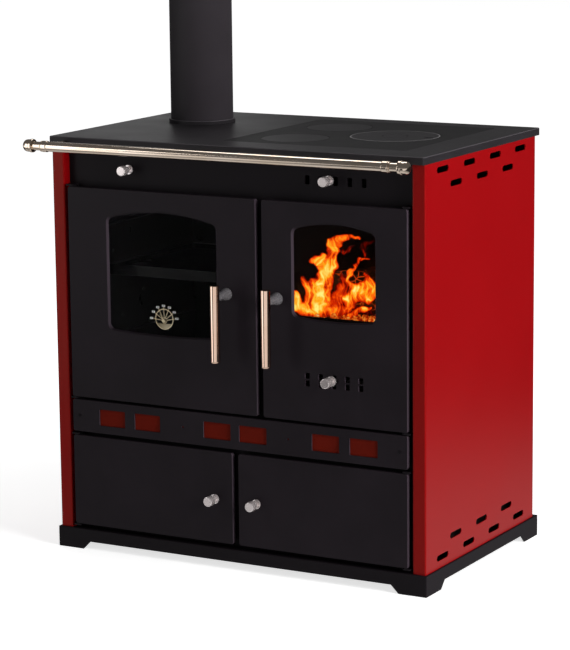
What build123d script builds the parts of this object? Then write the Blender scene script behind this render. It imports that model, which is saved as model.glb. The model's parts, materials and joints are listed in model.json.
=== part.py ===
from build123d import *
import math
import os

# Wood-burning cookstove: plinth, folded side panels, cast top, oven on the left, firebox on the right.
# Millimetres. X runs to the right, Y to the back, Z up. Shapes are drawn with the plan centre of the
# side panels at X = Y = 0 and the floor at Z = 0, and save() moves them all back by SHIFT_Y, so the
# handed-in origin is the plan centre of everything, rail included, on the floor.

os.makedirs("parts", exist_ok=True)

# ---- Driving sizes ----
WIDTH = 836.0            # over the two side panels
DEPTH = 503.0            # side panel, front edge to rear edge
HEIGHT = 850.0           # floor to cooking surface
PLINTH_H = 42.0
TOP_RIM = 15.0           # visible thickness of the cast top
TOP_PLATE = 9.0          # thickness of the top between its ribs
SHEET = 2.0              # panel sheet
BOX_WALL = 3.0           # oven and flue box sheet
FIRE_WALL = 4.0          # firebox plate
FRAME_T = 4.0            # front frame plate
FLANGE_W = 28.0          # red strip of the side panel seen from the front
FASCIA_SET = 20.0        # the front frame stands this far behind the side panels' front
DOOR_T = 10.0            # depth of every front panel
DOOR_PROUD = 3.0         # front panels stand this far ahead of the side panels
DOOR_CORNER = 5.0
EDGE_R = 1.2             # softened front edges
SIDE_GAP = 9.0           # between a door and the side panel's flange

# ---- Front, bottom to top ----
PLINTH_GAP = 10.0
LOWER_DOOR_H = 186.5
LOWER_GAP = 8.5
STRIP_H = 66.3
STRIP_GAP = 5.7
FASCIA_H = 85.5
LOWER_MID_GAP = 13.6
OVEN_DOOR_W = 433.0
MID_GAP = 14.0

# ---- Clearances ----
RUN = 0.05               # radial, a pin or rod in its hole
NEAR = 0.3               # between moving pieces and what they face
SEAT = 0.3               # sliding plate above what it rests on

X_SIDE = WIDTH / 2
X_MOUTH = X_SIDE - FLANGE_W
X_DOOR = X_MOUTH - SIDE_GAP
Y_FRONT = -DEPTH / 2
Y_REAR = DEPTH / 2
Y_DOOR = Y_FRONT - DOOR_PROUD
Y_DOOR_BACK = Y_DOOR + DOOR_T
Y_FASCIA = Y_FRONT + FASCIA_SET
Y_FRAME = Y_FASCIA + FRAME_T
Z_BODY = HEIGHT - TOP_RIM
LOWER_Z0 = PLINTH_H + PLINTH_GAP
LOWER_Z1 = LOWER_Z0 + LOWER_DOOR_H
STRIP_Z0 = LOWER_Z1 + LOWER_GAP
STRIP_Z1 = STRIP_Z0 + STRIP_H
DOOR_Z0 = STRIP_Z1 + STRIP_GAP
DOOR_Z1 = Z_BODY - FASCIA_H
OVEN_X0 = -X_DOOR
OVEN_X1 = OVEN_X0 + OVEN_DOOR_W
FIRE_X0 = OVEN_X1 + MID_GAP
FIRE_X1 = X_DOOR
LOWER_X = LOWER_MID_GAP / 2

# ---- Towel rail, ahead of everything ----
RAIL_R = 10.0
RAIL_OUT = 74.0          # rail axis ahead of the cast top's front edge
RAIL_DROP = 11.0         # rail axis below the cooking surface
RAIL_RING_R = 13.5
TOP_OVER_SIDE = 1.0
TOP_OVER_FRONT = 8.5
TOP_OVER_BACK = 20.0
Y_TOP_FRONT = Y_FRONT - TOP_OVER_FRONT
Y_TOP_BACK = Y_REAR + TOP_OVER_BACK
Y_RAIL = Y_TOP_FRONT - RAIL_OUT
Z_RAIL = HEIGHT - RAIL_DROP
SHIFT_Y = -(Y_RAIL - RAIL_RING_R + Y_TOP_BACK) / 2
SCREW_R = 2.0


# ---- Helpers ----
def save(shape, node):
    shape = Pos(0, SHIFT_Y, 0) * shape
    solids = shape.solids()
    if len(solids) > 1:
        shape = Compound(children=list(solids))
    shape.label = node
    export_step(shape, f"parts/{node}.step")


def block(x0, x1, y0, y1, z0, z1):
    return Pos((x0 + x1) / 2, (y0 + y1) / 2, (z0 + z1) / 2) * Box(x1 - x0, y1 - y0, z1 - z0)


def bar_x(x0, x1, y, z, r):
    return Pos((x0 + x1) / 2, y, z) * Rot(0, 90, 0) * Cylinder(r, x1 - x0)


def bar_y(x, z, r, y0, y1):
    return Pos(x, (y0 + y1) / 2, z) * Rot(90, 0, 0) * Cylinder(r, y1 - y0)


def bar_z(x, y, r, z0, z1):
    return Pos(x, y, (z0 + z1) / 2) * Cylinder(r, z1 - z0)


def rect(x0, x1, z0, z1, r=0.0):
    """Rectangle in front view, with rounded corners if r is given."""
    shape = RectangleRounded(x1 - x0, z1 - z0, r) if r > 0 else Rectangle(x1 - x0, z1 - z0)
    return Pos((x0 + x1) / 2, (z0 + z1) / 2) * shape


def front_plate(outline, y0, y1):
    """Solid whose outline is drawn in front view (X across, Z up), from y0 back to y1."""
    return Pos(0, y1, 0) * extrude(Plane.XZ * outline, y1 - y0)


def plan_plate(outline, z0, z1):
    """Solid whose outline is drawn in plan, from z0 up to z1."""
    return Pos(0, 0, z0) * extrude(outline, z1 - z0)


def bent_sheet(points, thickness, z0, z1, bend=3.0):
    """Sheet folded along a path in plan, its thickness to the left of the path."""
    path = FilletPolyline(*points, radius=bend)
    return plan_plate(make_face(offset(path, amount=thickness, side=Side.LEFT)), z0, z1)


def soften(shape, axis, at, radius):
    """Round the edges that lie in the plane axis = at."""
    picked = shape.edges().filter_by_position(axis, at - 0.01, at + 0.01)
    return fillet(picked, radius)


def mirrored(shape):
    return mirror(shape, Plane.YZ)


# ---- Plinth ----
PLINTH_WALL = 3.0
PLINTH_OVER_SIDE = 4.0
PLINTH_OVER_FRONT = 5.5
PLINTH_OVER_BACK = 15.0
NOTCH_H = 16.5
FOOT_FRONT = 60.0        # front-view width of a foot at the floor
FOOT_SIDE = 65.0         # side-view depth of a foot at the floor
NOTCH_SLOPE = 16.5


def notch(half_length, depth, along_x):
    """Long cut-out with sloping ends, as a prism through a wall."""
    outline = make_face(Polyline((-half_length, -1), (half_length, -1), (half_length, 0),
                                 (half_length - NOTCH_SLOPE, NOTCH_H),
                                 (-half_length + NOTCH_SLOPE, NOTCH_H), (-half_length, 0), close=True))
    prism = Pos(0, depth / 2, 0) * extrude(Plane.XZ * outline, depth)
    return prism if along_x else Rot(0, 0, 90) * prism


def plinth():
    x, y0, y1 = X_SIDE + PLINTH_OVER_SIDE, Y_FRONT - PLINTH_OVER_FRONT, Y_REAR + PLINTH_OVER_BACK
    wall = PLINTH_WALL
    body = block(-x, x, y0, y1, 0, PLINTH_H)
    body = fillet(body.edges().filter_by(Axis.Z), 2.0)
    body = soften(body, Axis.Z, PLINTH_H, EDGE_R)
    body -= block(-x + wall, x - wall, y0 + wall, y1 - wall, -1, PLINTH_H - wall)
    span = 2 * (x + 10)
    body -= Pos(0, (y0 + y1) / 2, 0) * notch(x - FOOT_FRONT, span, True)
    body -= Pos(0, (y0 + y1) / 2, 0) * notch((y1 - y0) / 2 - FOOT_SIDE, span, False)
    return body


# ---- Side panels ----
BEND_R = 3.0
SLOT_L = 51.0
SLOT_W = 12.0
SLOT_PITCH = 118.0
SLOT_ROW_STEP = 32.0
SLOT_TOP_DROP = 16.5     # upper row below the body's top edge
SLOT_LOW_RISE = 20.5     # lowest row above the plinth


def slot_row(count, z, y_mid):
    """Row of obround slots along Y through a wall that faces sideways."""
    hole = Rot(0, 90, 0) * Rot(0, 0, 90) * extrude(SlotOverall(SLOT_L, SLOT_W), 3 * SHEET, both=True)
    first = y_mid - SLOT_PITCH * (count - 1) / 2
    return [Pos(X_SIDE, first + i * SLOT_PITCH, z) * hole for i in range(count)]


def side_panel_right():
    panel = bent_sheet([(X_MOUTH, Y_FASCIA), (X_MOUTH, Y_FRONT), (X_SIDE, Y_FRONT), (X_SIDE, Y_REAR),
                        (X_MOUTH, Y_REAR)], SHEET, PLINTH_H, Z_BODY, BEND_R)
    rows = [(4, Z_BODY - SLOT_TOP_DROP), (3, Z_BODY - SLOT_TOP_DROP - SLOT_ROW_STEP),
            (3, PLINTH_H + SLOT_LOW_RISE + SLOT_ROW_STEP), (4, PLINTH_H + SLOT_LOW_RISE)]
    for count, z in rows:
        for hole in slot_row(count, z, 0):
            panel -= hole
    for sx, sz in pan_screw_spots():
        panel -= bar_y(sx, sz, SCREW_R, Y_REAR - SHEET - 1, Y_REAR + 1)
    return panel


# ---- Front frame: the plate behind every door, and the fascia above them ----
MOUTH_HINGE = 35.0       # mouth's edge inside the door's hinge edge
MOUTH_OVEN_LATCH = 30.0
MOUTH_FIRE_LATCH = 18.0
MOUTH_LOW = 22.0
MOUTH_HIGH = 24.5
MOUTH_R = 6.0
LOWER_IN = 18.0          # lower mouths inside their doors, top and bottom
OVEN_MOUTH = (OVEN_X0 + MOUTH_HINGE, OVEN_X1 - MOUTH_OVEN_LATCH, DOOR_Z0 + MOUTH_LOW, DOOR_Z1 - MOUTH_HIGH)
FIRE_MOUTH = (FIRE_X0 + MOUTH_FIRE_LATCH, FIRE_X1 - MOUTH_HINGE, DOOR_Z0 + MOUTH_LOW, DOOR_Z1 - MOUTH_HIGH)
STORE_MOUTH = (LOWER_X + LOWER_IN, X_DOOR - MOUTH_HINGE, LOWER_Z0 + LOWER_IN, LOWER_Z1 - LOWER_IN)

AIR_SLOT_N = 5
AIR_SLOT_W = 10.5
FASCIA_AIR_IN = 164.0    # middle slot of the fascia row, in from the right door's edge
FASCIA_AIR_DROP = 45.0   # middle of the row below the body's top edge
FASCIA_AIR_X = X_DOOR - FASCIA_AIR_IN
FASCIA_AIR_PITCH = 30.7
FASCIA_AIR_Z = Z_BODY - FASCIA_AIR_DROP
FASCIA_AIR_H = 17.5
FASCIA_KNOB_LEFT = 13.0  # knob left of the middle slot
FASCIA_KNOB_UP = 1.6
FASCIA_KNOB_X = FASCIA_AIR_X - FASCIA_KNOB_LEFT
FASCIA_KNOB_Z = FASCIA_AIR_Z + FASCIA_KNOB_UP
AIR_TRAVEL = 12.0
STEM_R = 2.5
STEM_SLACK = 0.3
DAMPER_IN = 133.0        # damper rod in from the left door's edge
DAMPER_DROP = 47.0       # and below the body's top edge
DAMPER_X = DAMPER_IN - X_DOOR
DAMPER_Z = Z_BODY - DAMPER_DROP
ROD_R = 4.0


def air_slots(x_mid, z, pitch, height):
    """Outline of the row of upright air slots."""
    first = x_mid - pitch * (AIR_SLOT_N - 1) / 2
    return [Pos(first + i * pitch, z) * RectangleRounded(AIR_SLOT_W, height, 2.0) for i in range(AIR_SLOT_N)]


def stem_slit(x, z):
    """Level slit that lets a knob's stem slide by AIR_TRAVEL to the right."""
    width = AIR_TRAVEL + 2 * (STEM_R + STEM_SLACK)
    return Pos(x + AIR_TRAVEL / 2, z) * SlotOverall(width, 2 * (STEM_R + STEM_SLACK))


def front_frame():
    edge = X_SIDE - SHEET
    plate = front_plate(rect(-edge, edge, PLINTH_H, Z_BODY), Y_FASCIA, Y_FRAME)
    holes = [rect(*OVEN_MOUTH, MOUTH_R), rect(*FIRE_MOUTH, MOUTH_R), rect(*STORE_MOUTH, MOUTH_R)]
    holes.append(rect(-STORE_MOUTH[1], -STORE_MOUTH[0], STORE_MOUTH[2], STORE_MOUTH[3], MOUTH_R))
    holes += air_slots(FASCIA_AIR_X, FASCIA_AIR_Z, FASCIA_AIR_PITCH, FASCIA_AIR_H)
    holes.append(stem_slit(FASCIA_KNOB_X, FASCIA_KNOB_Z))
    holes.append(Pos(DAMPER_X, DAMPER_Z) * Circle(ROD_R + RUN))
    for hole in holes:
        plate -= front_plate(hole, Y_FASCIA - 1, Y_FRAME + 1)
    return plate


# ---- Hinges: eight brackets in the gaps above and below the doors ----
HINGE_IN = 6.0           # pin axis inside the door's outer edge
PIN_R = 2.5
PIN_DEEP = 9.0           # how far a pin enters a door
BRACKET_T = 3.0
BRACKET_OUT = 5.0        # bracket's outer edge beyond the door's
BRACKET_RISE = 12.0
WASHER_R = 4.5
X_PIVOT = X_DOOR - HINGE_IN
Y_PIVOT = Y_DOOR + DOOR_T / 2

HINGE_LEVELS = [(LOWER_Z0, -1), (LOWER_Z1, 1), (DOOR_Z0, -1), (DOOR_Z1, 1)]
HINGE_GAP = 1.2          # between a bracket and its door


def hinge_bracket(z_door, side):
    """Right-hand bracket; side is -1 for one under a door and 1 for one above it."""
    z_near = z_door + side * HINGE_GAP
    z0, z1 = sorted((z_near, z_near + side * BRACKET_T))
    x0, x1 = X_PIVOT - PIN_R - 4, X_DOOR + BRACKET_OUT
    tab = block(x0, x1, Y_PIVOT - PIN_R - 2, Y_FASCIA, z0, z1)
    tab = fillet(tab.edges().filter_by(Axis.Z).sort_by(Axis.Y)[:2], 3.0)
    flange_far = z_door - side * BRACKET_RISE
    f0, f1 = sorted((z_near + side * BRACKET_T, flange_far))
    tab += block(x0, x1, Y_FASCIA - BRACKET_T, Y_FASCIA, f0, f1)
    return tab - bar_z(X_PIVOT, Y_PIVOT, PIN_R, z0 - 1, z1 + 1)


def hinge_pin(z_door, side):
    """Pin fixed in its bracket, with a shoulder that the door turns on."""
    z_near = z_door + side * HINGE_GAP
    z0, z1 = sorted((z_near + side * BRACKET_T, z_door - side * PIN_DEEP))
    w0, w1 = sorted((z_near, z_door + side * RUN))
    return bar_z(X_PIVOT, Y_PIVOT, PIN_R, z0, z1) + bar_z(X_PIVOT, Y_PIVOT, WASHER_R, w0, w1)


def both_sides(shapes):
    return Compound(children=[*shapes, *[mirrored(s) for s in shapes]])


def pin_bores(z0, z1):
    """Cutters for the right-hand pins of a door that spans z0 to z1."""
    r = PIN_R + RUN
    deep = PIN_DEEP + 0.5
    return bar_z(X_PIVOT, Y_PIVOT, r, z0 - 1, z0 + deep) + bar_z(X_PIVOT, Y_PIVOT, r, z1 - deep, z1 + 1)


# ---- Carcass behind the frame ----
CASING_GAP = 30.0        # air space between a side panel and the casing
CASING_BACK = 14.5       # air space between the casing and the rear flanges
X_CASING = X_SIDE - SHEET - CASING_GAP - SHEET
Y_CASING = Y_REAR - SHEET - CASING_BACK - SHEET
HEARTH_T = 3.0
Z_HEARTH = DOOR_Z0 + HEARTH_T
RIB_W = 10.0
ASH_RIB_H = MOUTH_LOW - HEARTH_T + 1.0
RIB_AHEAD = 40.0         # ribs end ahead of the oven's back
RIB_BEHIND = 57.5        # and start behind the frame plate

OVEN_POCKET = 18.0       # room behind the frame at the latch side
OVEN_HINGE_SIDE = 10.0
OVEN_BACK_ROOM = 61.5    # inner face of the oven's and firebox's back to the panels' rear edge
OVEN_WALL_Y = Y_REAR - OVEN_BACK_ROOM
RIB_Y0 = Y_FRAME + RIB_BEHIND
RIB_Y1 = OVEN_WALL_Y - RIB_AHEAD
OVEN_CAVITY = (OVEN_MOUTH[0] - OVEN_HINGE_SIDE, OVEN_MOUTH[1] + OVEN_POCKET,
               OVEN_MOUTH[2] - 5.0, OVEN_MOUTH[3] + 10.0)
FIRE_CAVITY = (FIRE_MOUTH[0] - OVEN_POCKET, FIRE_MOUTH[1] + 22.0)


def inner_casing():
    x = X_CASING + SHEET
    y = Y_CASING + SHEET
    return bent_sheet([(x, Y_FRAME), (x, y), (-x, y), (-x, Y_FRAME)], SHEET, PLINTH_H, Z_BODY, BEND_R)


def storage_divider():
    wall = block(-SHEET / 2, SHEET / 2, Y_FRAME, Y_CASING, PLINTH_H, DOOR_Z0)
    foot = block(-RIB_W, RIB_W, Y_FRAME, Y_CASING, PLINTH_H, PLINTH_H + SHEET)
    return wall + foot


def hearth_floor():
    corner = RectangleRounded(2 * X_CASING, Y_CASING - Y_FRAME, 1.0)
    plate = plan_plate(Pos(0, (Y_CASING + Y_FRAME) / 2) * corner, DOOR_Z0, Z_HEARTH)
    z_oven = OVEN_CAVITY[2] - BOX_WALL
    for x in (OVEN_CAVITY[0] + 50, OVEN_CAVITY[1] - 50):
        plate += block(x - RIB_W, x + RIB_W, RIB_Y0, RIB_Y1, Z_HEARTH, z_oven)
    for x in ASH_RIBS:
        plate += block(x - RIB_W / 2, x + RIB_W / 2, RIB_Y0 - RIB_W, RIB_Y1, Z_HEARTH, Z_HEARTH + ASH_RIB_H)
    return plate


PAN_DEEP = 13.0
PAN_IN = 8.0             # pan's edge inside the side panel's face
PAN_LIP = 19.0
PAN_HOLE_R = 6.0         # way in for the screwdriver
PAN_SCREW_IN = 18.0
HEAD_R = 4.5
HEAD_T = 2.5


def pan_screw_spots():
    x = X_SIDE - PAN_SCREW_IN
    step = (Z_BODY - PLINTH_H - 60) / 3
    return [(side * x, PLINTH_H + 30 + i * step) for side in (-1, 1) for i in range(4)]


def back_panel():
    """Shallow pan whose turned-in lips are screwed on the side panels' rear flanges."""
    x, y1, t = X_SIDE - PAN_IN, Y_REAR + PAN_DEEP, SHEET
    pan = block(-x, x, Y_REAR, y1, PLINTH_H, Z_BODY)
    pan = fillet(pan.edges().filter_by(Axis.Z), BEND_R - 0.5)
    pan -= block(-x + PAN_LIP, x - PAN_LIP, Y_REAR - 1, y1 - t, PLINTH_H + t, Z_BODY - t)
    pan -= block(-x + t, x - t, Y_REAR + t, y1 - t, PLINTH_H + t, Z_BODY - t)
    for sx, sz in pan_screw_spots():
        pan -= bar_y(sx, sz, PAN_HOLE_R, y1 - t - 1, y1 + 1)
        pan -= bar_y(sx, sz, SCREW_R, Y_REAR - 1, Y_REAR + t + 1)
    return pan


def back_screws():
    """Pan-head screws through the lips and the flanges."""
    screws = []
    for sx, sz in pan_screw_spots():
        y = Y_REAR + SHEET
        head = soften(bar_y(sx, sz, HEAD_R, y, y + HEAD_T), Axis.Y, y + HEAD_T, 1.2)
        head -= block(sx - 3, sx + 3, y + HEAD_T - 1, y + HEAD_T + 1, sz - 0.5, sz + 0.5)
        screws.append(head + bar_y(sx, sz, SCREW_R, Y_REAR - SHEET - 3, y))
    return Compound(children=screws)


# ---- Oven ----
def oven_box():
    x0, x1, z0, z1 = OVEN_CAVITY
    w = BOX_WALL
    box = block(x0 - w, x1 + w, Y_FRAME, OVEN_WALL_Y + w, z0 - w, z1 + w)
    box = fillet(box.edges().filter_by(Axis.Y), 6.0)
    cavity = block(x0, x1, Y_FRAME - 1, OVEN_WALL_Y, z0, z1)
    return box - fillet(cavity.edges().filter_by(Axis.Y), 3.0)


RUNNER_SHARES = (0.236, 0.604, 0.812)
OVEN_H = OVEN_CAVITY[3] - OVEN_CAVITY[2]
RUNNER_Z = [OVEN_CAVITY[2] + share * OVEN_H for share in RUNNER_SHARES]
RUNNER_W = 12.0
RUNNER_LIP = 8.0
RUNNER_BEHIND = 22.5     # runners' front end behind the frame plate
RUNNER_SHORT = 15.0      # rear end ahead of the oven's back
RUNNER_Y0 = Y_FRAME + RUNNER_BEHIND
RUNNER_Y1 = OVEN_WALL_Y - RUNNER_SHORT


def oven_runners():
    x0, x1 = OVEN_CAVITY[0], OVEN_CAVITY[1]
    rails = []
    for z in RUNNER_Z:
        for wall, inward in ((x0, 1), (x1, -1)):
            a, b = sorted((wall, wall + inward * RUNNER_W))
            shelf = block(a, b, RUNNER_Y0, RUNNER_Y1, z - BOX_WALL, z)
            a, b = sorted((wall, wall + inward * SHEET))
            rails.append(shelf + block(a, b, RUNNER_Y0, RUNNER_Y1, z - BOX_WALL - RUNNER_LIP, z - BOX_WALL))
    return Compound(children=rails)


TRAY_T = 1.5
TRAY_H = 13.0
TRAY_LIP = 9.0
TRAY_SHORT = 10.0        # tray's rear edge ahead of the runners' end
TRAY_RIM = 8.0           # level rim at front and rear
TRAY_SIDE_GAP = 2.0
TRAY_DEEP = 10.0


def baking_tray():
    """Shallow enamelled tray with a level rim, resting on the middle runners."""
    x0, x1 = OVEN_CAVITY[0] + TRAY_SIDE_GAP, OVEN_CAVITY[1] - TRAY_SIDE_GAP
    y1 = RUNNER_Y1 - TRAY_SHORT
    z1 = RUNNER_Z[1] + TRAY_T
    inner0, inner1 = x0 + RUNNER_W + TRAY_LIP - 6, x1 - RUNNER_W - TRAY_LIP + 6
    well0, well1 = RUNNER_Y0 + TRAY_RIM, y1 - TRAY_RIM
    rim = block(x0, x1, RUNNER_Y0, y1, RUNNER_Z[1], z1)
    rim = fillet(rim.edges().filter_by(Axis.Z), 14)
    well = block(inner0, inner1, well0, well1, z1 - TRAY_DEEP - TRAY_T, z1)
    well = fillet(well.edges().filter_by(Axis.Z), 12)
    hollow = block(inner0 + TRAY_T, inner1 - TRAY_T, well0 + TRAY_T, well1 - TRAY_T, z1 - TRAY_DEEP, z1 + 1)
    hollow = fillet(hollow.edges().filter_by(Axis.Z), 10.5)
    lip = block(x0 + 14, x1 - 14, RUNNER_Y0, RUNNER_Y0 + TRAY_T, RUNNER_Z[1] - 1, RUNNER_Z[1] + TRAY_H)
    return rim + well + lip - hollow


# ---- Firebox ----
BRICK_T = 25.0
BED_T = 6.0
ASH_ROOM = 170.0         # doors' lower edge to the underside of the grate bed
BRICK_DROP = 25.0        # bricks end below the mouth's top
BED_Z = DOOR_Z0 + ASH_ROOM
BRICK_TOP = FIRE_MOUTH[3] - BRICK_DROP
LEDGE = 15.0
GUARD_H = 28.0
BED_BEHIND = 22.5        # bed's front edge behind the frame plate
BRICK_BEHIND = 15.0      # bricks' front face behind that
Y_BED = Y_FRAME + BED_BEHIND
Y_BRICK = Y_BED + BRICK_BEHIND
BRICK_JOINT = 2.0
GRATE_T = 12.0
GRATE_LAP = 10.0
X_FIRE0, X_FIRE1 = FIRE_CAVITY
X_FIRE_MID = (X_FIRE0 + X_FIRE1) / 2
HOLE_SIDE = 40.0
HOLE_FRONT = 55.0
HOLE_BACK = 60.0
BED_HOLE = (X_FIRE0 + HOLE_SIDE, X_FIRE1 - HOLE_SIDE, Y_BED + HOLE_FRONT, OVEN_WALL_Y - HOLE_BACK)
ASH_RIB_IN = 70.0
ASH_RIBS = (X_FIRE0 + ASH_RIB_IN, X_FIRE1 - ASH_RIB_IN)


def firebox_shell():
    """Two walls and a back, welded; the left wall stops level with the oven so smoke passes over it."""
    x0, x1, y = X_FIRE0 - FIRE_WALL, X_FIRE1 + FIRE_WALL, OVEN_WALL_Y + FIRE_WALL
    shell = block(x0, x1, Y_FRAME, y, Z_HEARTH, Z_BODY)
    shell -= block(X_FIRE0, X_FIRE1, Y_FRAME - 1, OVEN_WALL_Y, Z_HEARTH - 1, Z_BODY + 1)
    shell -= block(x0 - 1, X_FIRE0 + 1, Y_FRAME - 1, OVEN_WALL_Y, OVEN_CAVITY[3] + BOX_WALL, Z_BODY + 1)
    shell += block(X_FIRE0, X_FIRE0 + LEDGE, Y_BED, OVEN_WALL_Y, BED_Z - LEDGE, BED_Z)
    shell += block(X_FIRE1 - LEDGE, X_FIRE1, Y_BED, OVEN_WALL_Y, BED_Z - LEDGE, BED_Z)
    return shell


def grate_bed():
    """Plate that carries the bricks and the grate, with a guard along its front."""
    plate = block(X_FIRE0, X_FIRE1, Y_BED, OVEN_WALL_Y, BED_Z, BED_Z + BED_T)
    plate += block(X_FIRE0, X_FIRE1, Y_BED, Y_BED + BED_T, BED_Z + BED_T, BED_Z + GUARD_H)
    plate -= block(*BED_HOLE, BED_Z - 1, BED_Z + BED_T + 1)
    return plate


def fire_grate():
    """Cast grate: a frame with rounded bars, resting over the bed's opening."""
    x0, x1, y0, y1 = BED_HOLE
    lap = GRATE_LAP
    z0 = BED_Z + BED_T
    grate = block(x0 - lap, x1 + lap, y0 - lap, y1 + lap, z0, z0 + GRATE_T)
    grate = fillet(grate.edges().filter_by(Axis.Z), 8)
    pitch = (x1 - x0) / 11
    for i in range(11):
        slot = SlotOverall(y1 - y0, pitch * 0.55, rotation=90)
        grate -= plan_plate(Pos(x0 + (i + 0.5) * pitch, (y0 + y1) / 2) * slot, z0 - 1, z0 + GRATE_T + 1)
    return soften(grate, Axis.Z, z0 + GRATE_T, 1.5)


def joint_cuts(hot_x, along0, along1):
    """Grooves in a side wall's hot face: one level joint, and one upright joint in each course."""
    z0 = BED_Z + BED_T
    z_mid = (z0 + BRICK_TOP) / 2
    half = BRICK_JOINT / 2
    x0, x1 = hot_x - BRICK_JOINT, hot_x + BRICK_JOINT
    cuts = block(x0, x1, along0 - 1, along1 + 1, z_mid - half, z_mid + half)
    for share, low, high in ((0.35, z0 - 1, z_mid), (0.65, z_mid, BRICK_TOP + 1)):
        y = along0 + share * (along1 - along0)
        cuts += block(x0, x1, y - half, y + half, low, high)
    return cuts


def brick_sides():
    z0 = BED_Z + BED_T
    y1 = OVEN_WALL_Y - BRICK_T
    left = block(X_FIRE0, X_FIRE0 + BRICK_T, Y_BRICK, y1, z0, BRICK_TOP)
    right = block(X_FIRE1 - BRICK_T, X_FIRE1, Y_BRICK, y1, z0, BRICK_TOP)
    left -= joint_cuts(X_FIRE0 + BRICK_T, Y_BRICK, y1)
    right -= joint_cuts(X_FIRE1 - BRICK_T, Y_BRICK, y1)
    return Compound(children=[left, right])


def brick_back():
    z0 = BED_Z + BED_T
    y0, half = OVEN_WALL_Y - BRICK_T, BRICK_JOINT / 2
    wall = block(X_FIRE0, X_FIRE1, y0, OVEN_WALL_Y, z0, BRICK_TOP)
    z_mid = (z0 + BRICK_TOP) / 2
    wall -= block(X_FIRE0 + BRICK_T, X_FIRE1 - BRICK_T, y0 - 1, y0 + BRICK_JOINT, z_mid - half, z_mid + half)
    return wall - block(X_FIRE_MID - half, X_FIRE_MID + half, y0 - 1, y0 + BRICK_JOINT, z_mid, BRICK_TOP + 1)


ASH_H = 58.0
ASH_AHEAD = 1.0          # pan's front ahead of the grate bed's
ASH_SHORT = 50.0         # pan's rear end ahead of the firebox's back
ASH_T = 1.5


def ash_pan():
    """Open tray on two ribs, with a bail-shaped pull at its front."""
    x0, x1 = ASH_RIBS[0] - 35, ASH_RIBS[1] + 35
    y0, y1 = Y_BED - ASH_AHEAD, OVEN_WALL_Y - ASH_SHORT
    z0 = Z_HEARTH + ASH_RIB_H
    pan = fillet(block(x0, x1, y0, y1, z0, z0 + ASH_H).edges().filter_by(Axis.Z), 6)
    hollow = block(x0 + ASH_T, x1 - ASH_T, y0 + ASH_T, y1 - ASH_T, z0 + ASH_T, z0 + ASH_H + 1)
    pan -= fillet(hollow.edges().filter_by(Axis.Z), 4.5)
    pull = front_plate(rect(X_FIRE_MID - 40, X_FIRE_MID + 40, z0 + 24, z0 + 32, 2), y0 - 14, y0)
    pull -= block(X_FIRE_MID - 36, X_FIRE_MID + 36, y0 - 11, y0 + 1, z0 + 20, z0 + 36)
    return pan + pull


# ---- Flue box and damper ----
FLUE_IN = 150.0          # flue centre in from the left side panel's face
FLUE_AHEAD = 183.5       # and ahead of the top's rear edge
FLUE_X = FLUE_IN - X_SIDE
FLUE_Y = Y_TOP_BACK - FLUE_AHEAD
FLUE_R = 65.0            # outside of the pipe
FLUE_T = 2.0
FLUE_L = 330.0
COLLAR_R = 69.0
COLLAR_H = 8.0
SPIGOT_H = 40.0
SPIGOT_GAP = 0.1
FLUE_HOLE_R = 58.0
FLUE_BOX_HALF = 80.0
FLUE_BOX_H = 71.0
PORT_R = 55.0
DAMPER_HALF = 72.0
DAMPER_T = 3.0
LUG_W = 16.0
Z_TOP_UNDER = HEIGHT - TOP_PLATE
FLUE_BOX_Z = Z_TOP_UNDER - FLUE_BOX_H


def flue_box():
    """Sheet box under the flue, with a port in its floor that the damper closes."""
    h, w = FLUE_BOX_HALF, BOX_WALL
    box = block(FLUE_X - h, FLUE_X + h, FLUE_Y - h, FLUE_Y + h, FLUE_BOX_Z, Z_TOP_UNDER)
    box -= block(FLUE_X - h + w, FLUE_X + h - w, FLUE_Y - h + w, FLUE_Y + h - w, FLUE_BOX_Z + w, Z_TOP_UNDER + 1)
    box -= bar_z(FLUE_X, FLUE_Y, PORT_R, FLUE_BOX_Z - 1, FLUE_BOX_Z + w + 1)
    y0, y1 = FLUE_Y - h - 1, FLUE_Y - h + w + 1
    slot = DAMPER_HALF + 1.0
    box -= block(FLUE_X - slot, FLUE_X + slot, y0, y1, FLUE_BOX_Z + w, FLUE_BOX_Z + w + DAMPER_T + 2 * SEAT)
    lug = LUG_W / 2 + 1.5
    box -= block(DAMPER_X - lug, DAMPER_X + lug, y0, y1, FLUE_BOX_Z + w, DAMPER_Z + ROD_R + 3)
    box -= block(FLUE_X - h / 2, FLUE_X + h / 2, FLUE_Y + h - w - 1, FLUE_Y + h + 1, FLUE_BOX_Z + 16, Z_TOP_UNDER - 16)
    return box


def damper_plate():
    z0 = FLUE_BOX_Z + BOX_WALL + SEAT
    h = DAMPER_HALF
    y1 = FLUE_Y + FLUE_BOX_HALF - BOX_WALL - 2.0
    y0 = y1 - 2 * h
    plate = block(FLUE_X - h, FLUE_X + h, y0, y1, z0, z0 + DAMPER_T)
    plate = fillet(plate.edges().filter_by(Axis.Z), 4)
    lug = block(DAMPER_X - LUG_W / 2, DAMPER_X + LUG_W / 2, y0 + 2, y0 + 6, z0 + DAMPER_T, DAMPER_Z + ROD_R + 1)
    return plate + lug - bar_y(DAMPER_X, DAMPER_Z, ROD_R, y0, y0 + 8)


def damper_rod():
    y1 = FLUE_Y + FLUE_BOX_HALF - BOX_WALL - 2.0 - 2 * DAMPER_HALF + 10
    return bar_y(DAMPER_X, DAMPER_Z, ROD_R, Y_FASCIA - NEAR - KNOB_RING_T, y1)


# ---- Knobs ----
KNOB_RING_R = 9.8
KNOB_RING_T = 4.0
KNOB_NECK_R = 6.4
KNOB_R = 10.0
KNOB_L = 30.0
KNOB_HEAD = 16.0
GROOVE = 0.7


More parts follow.
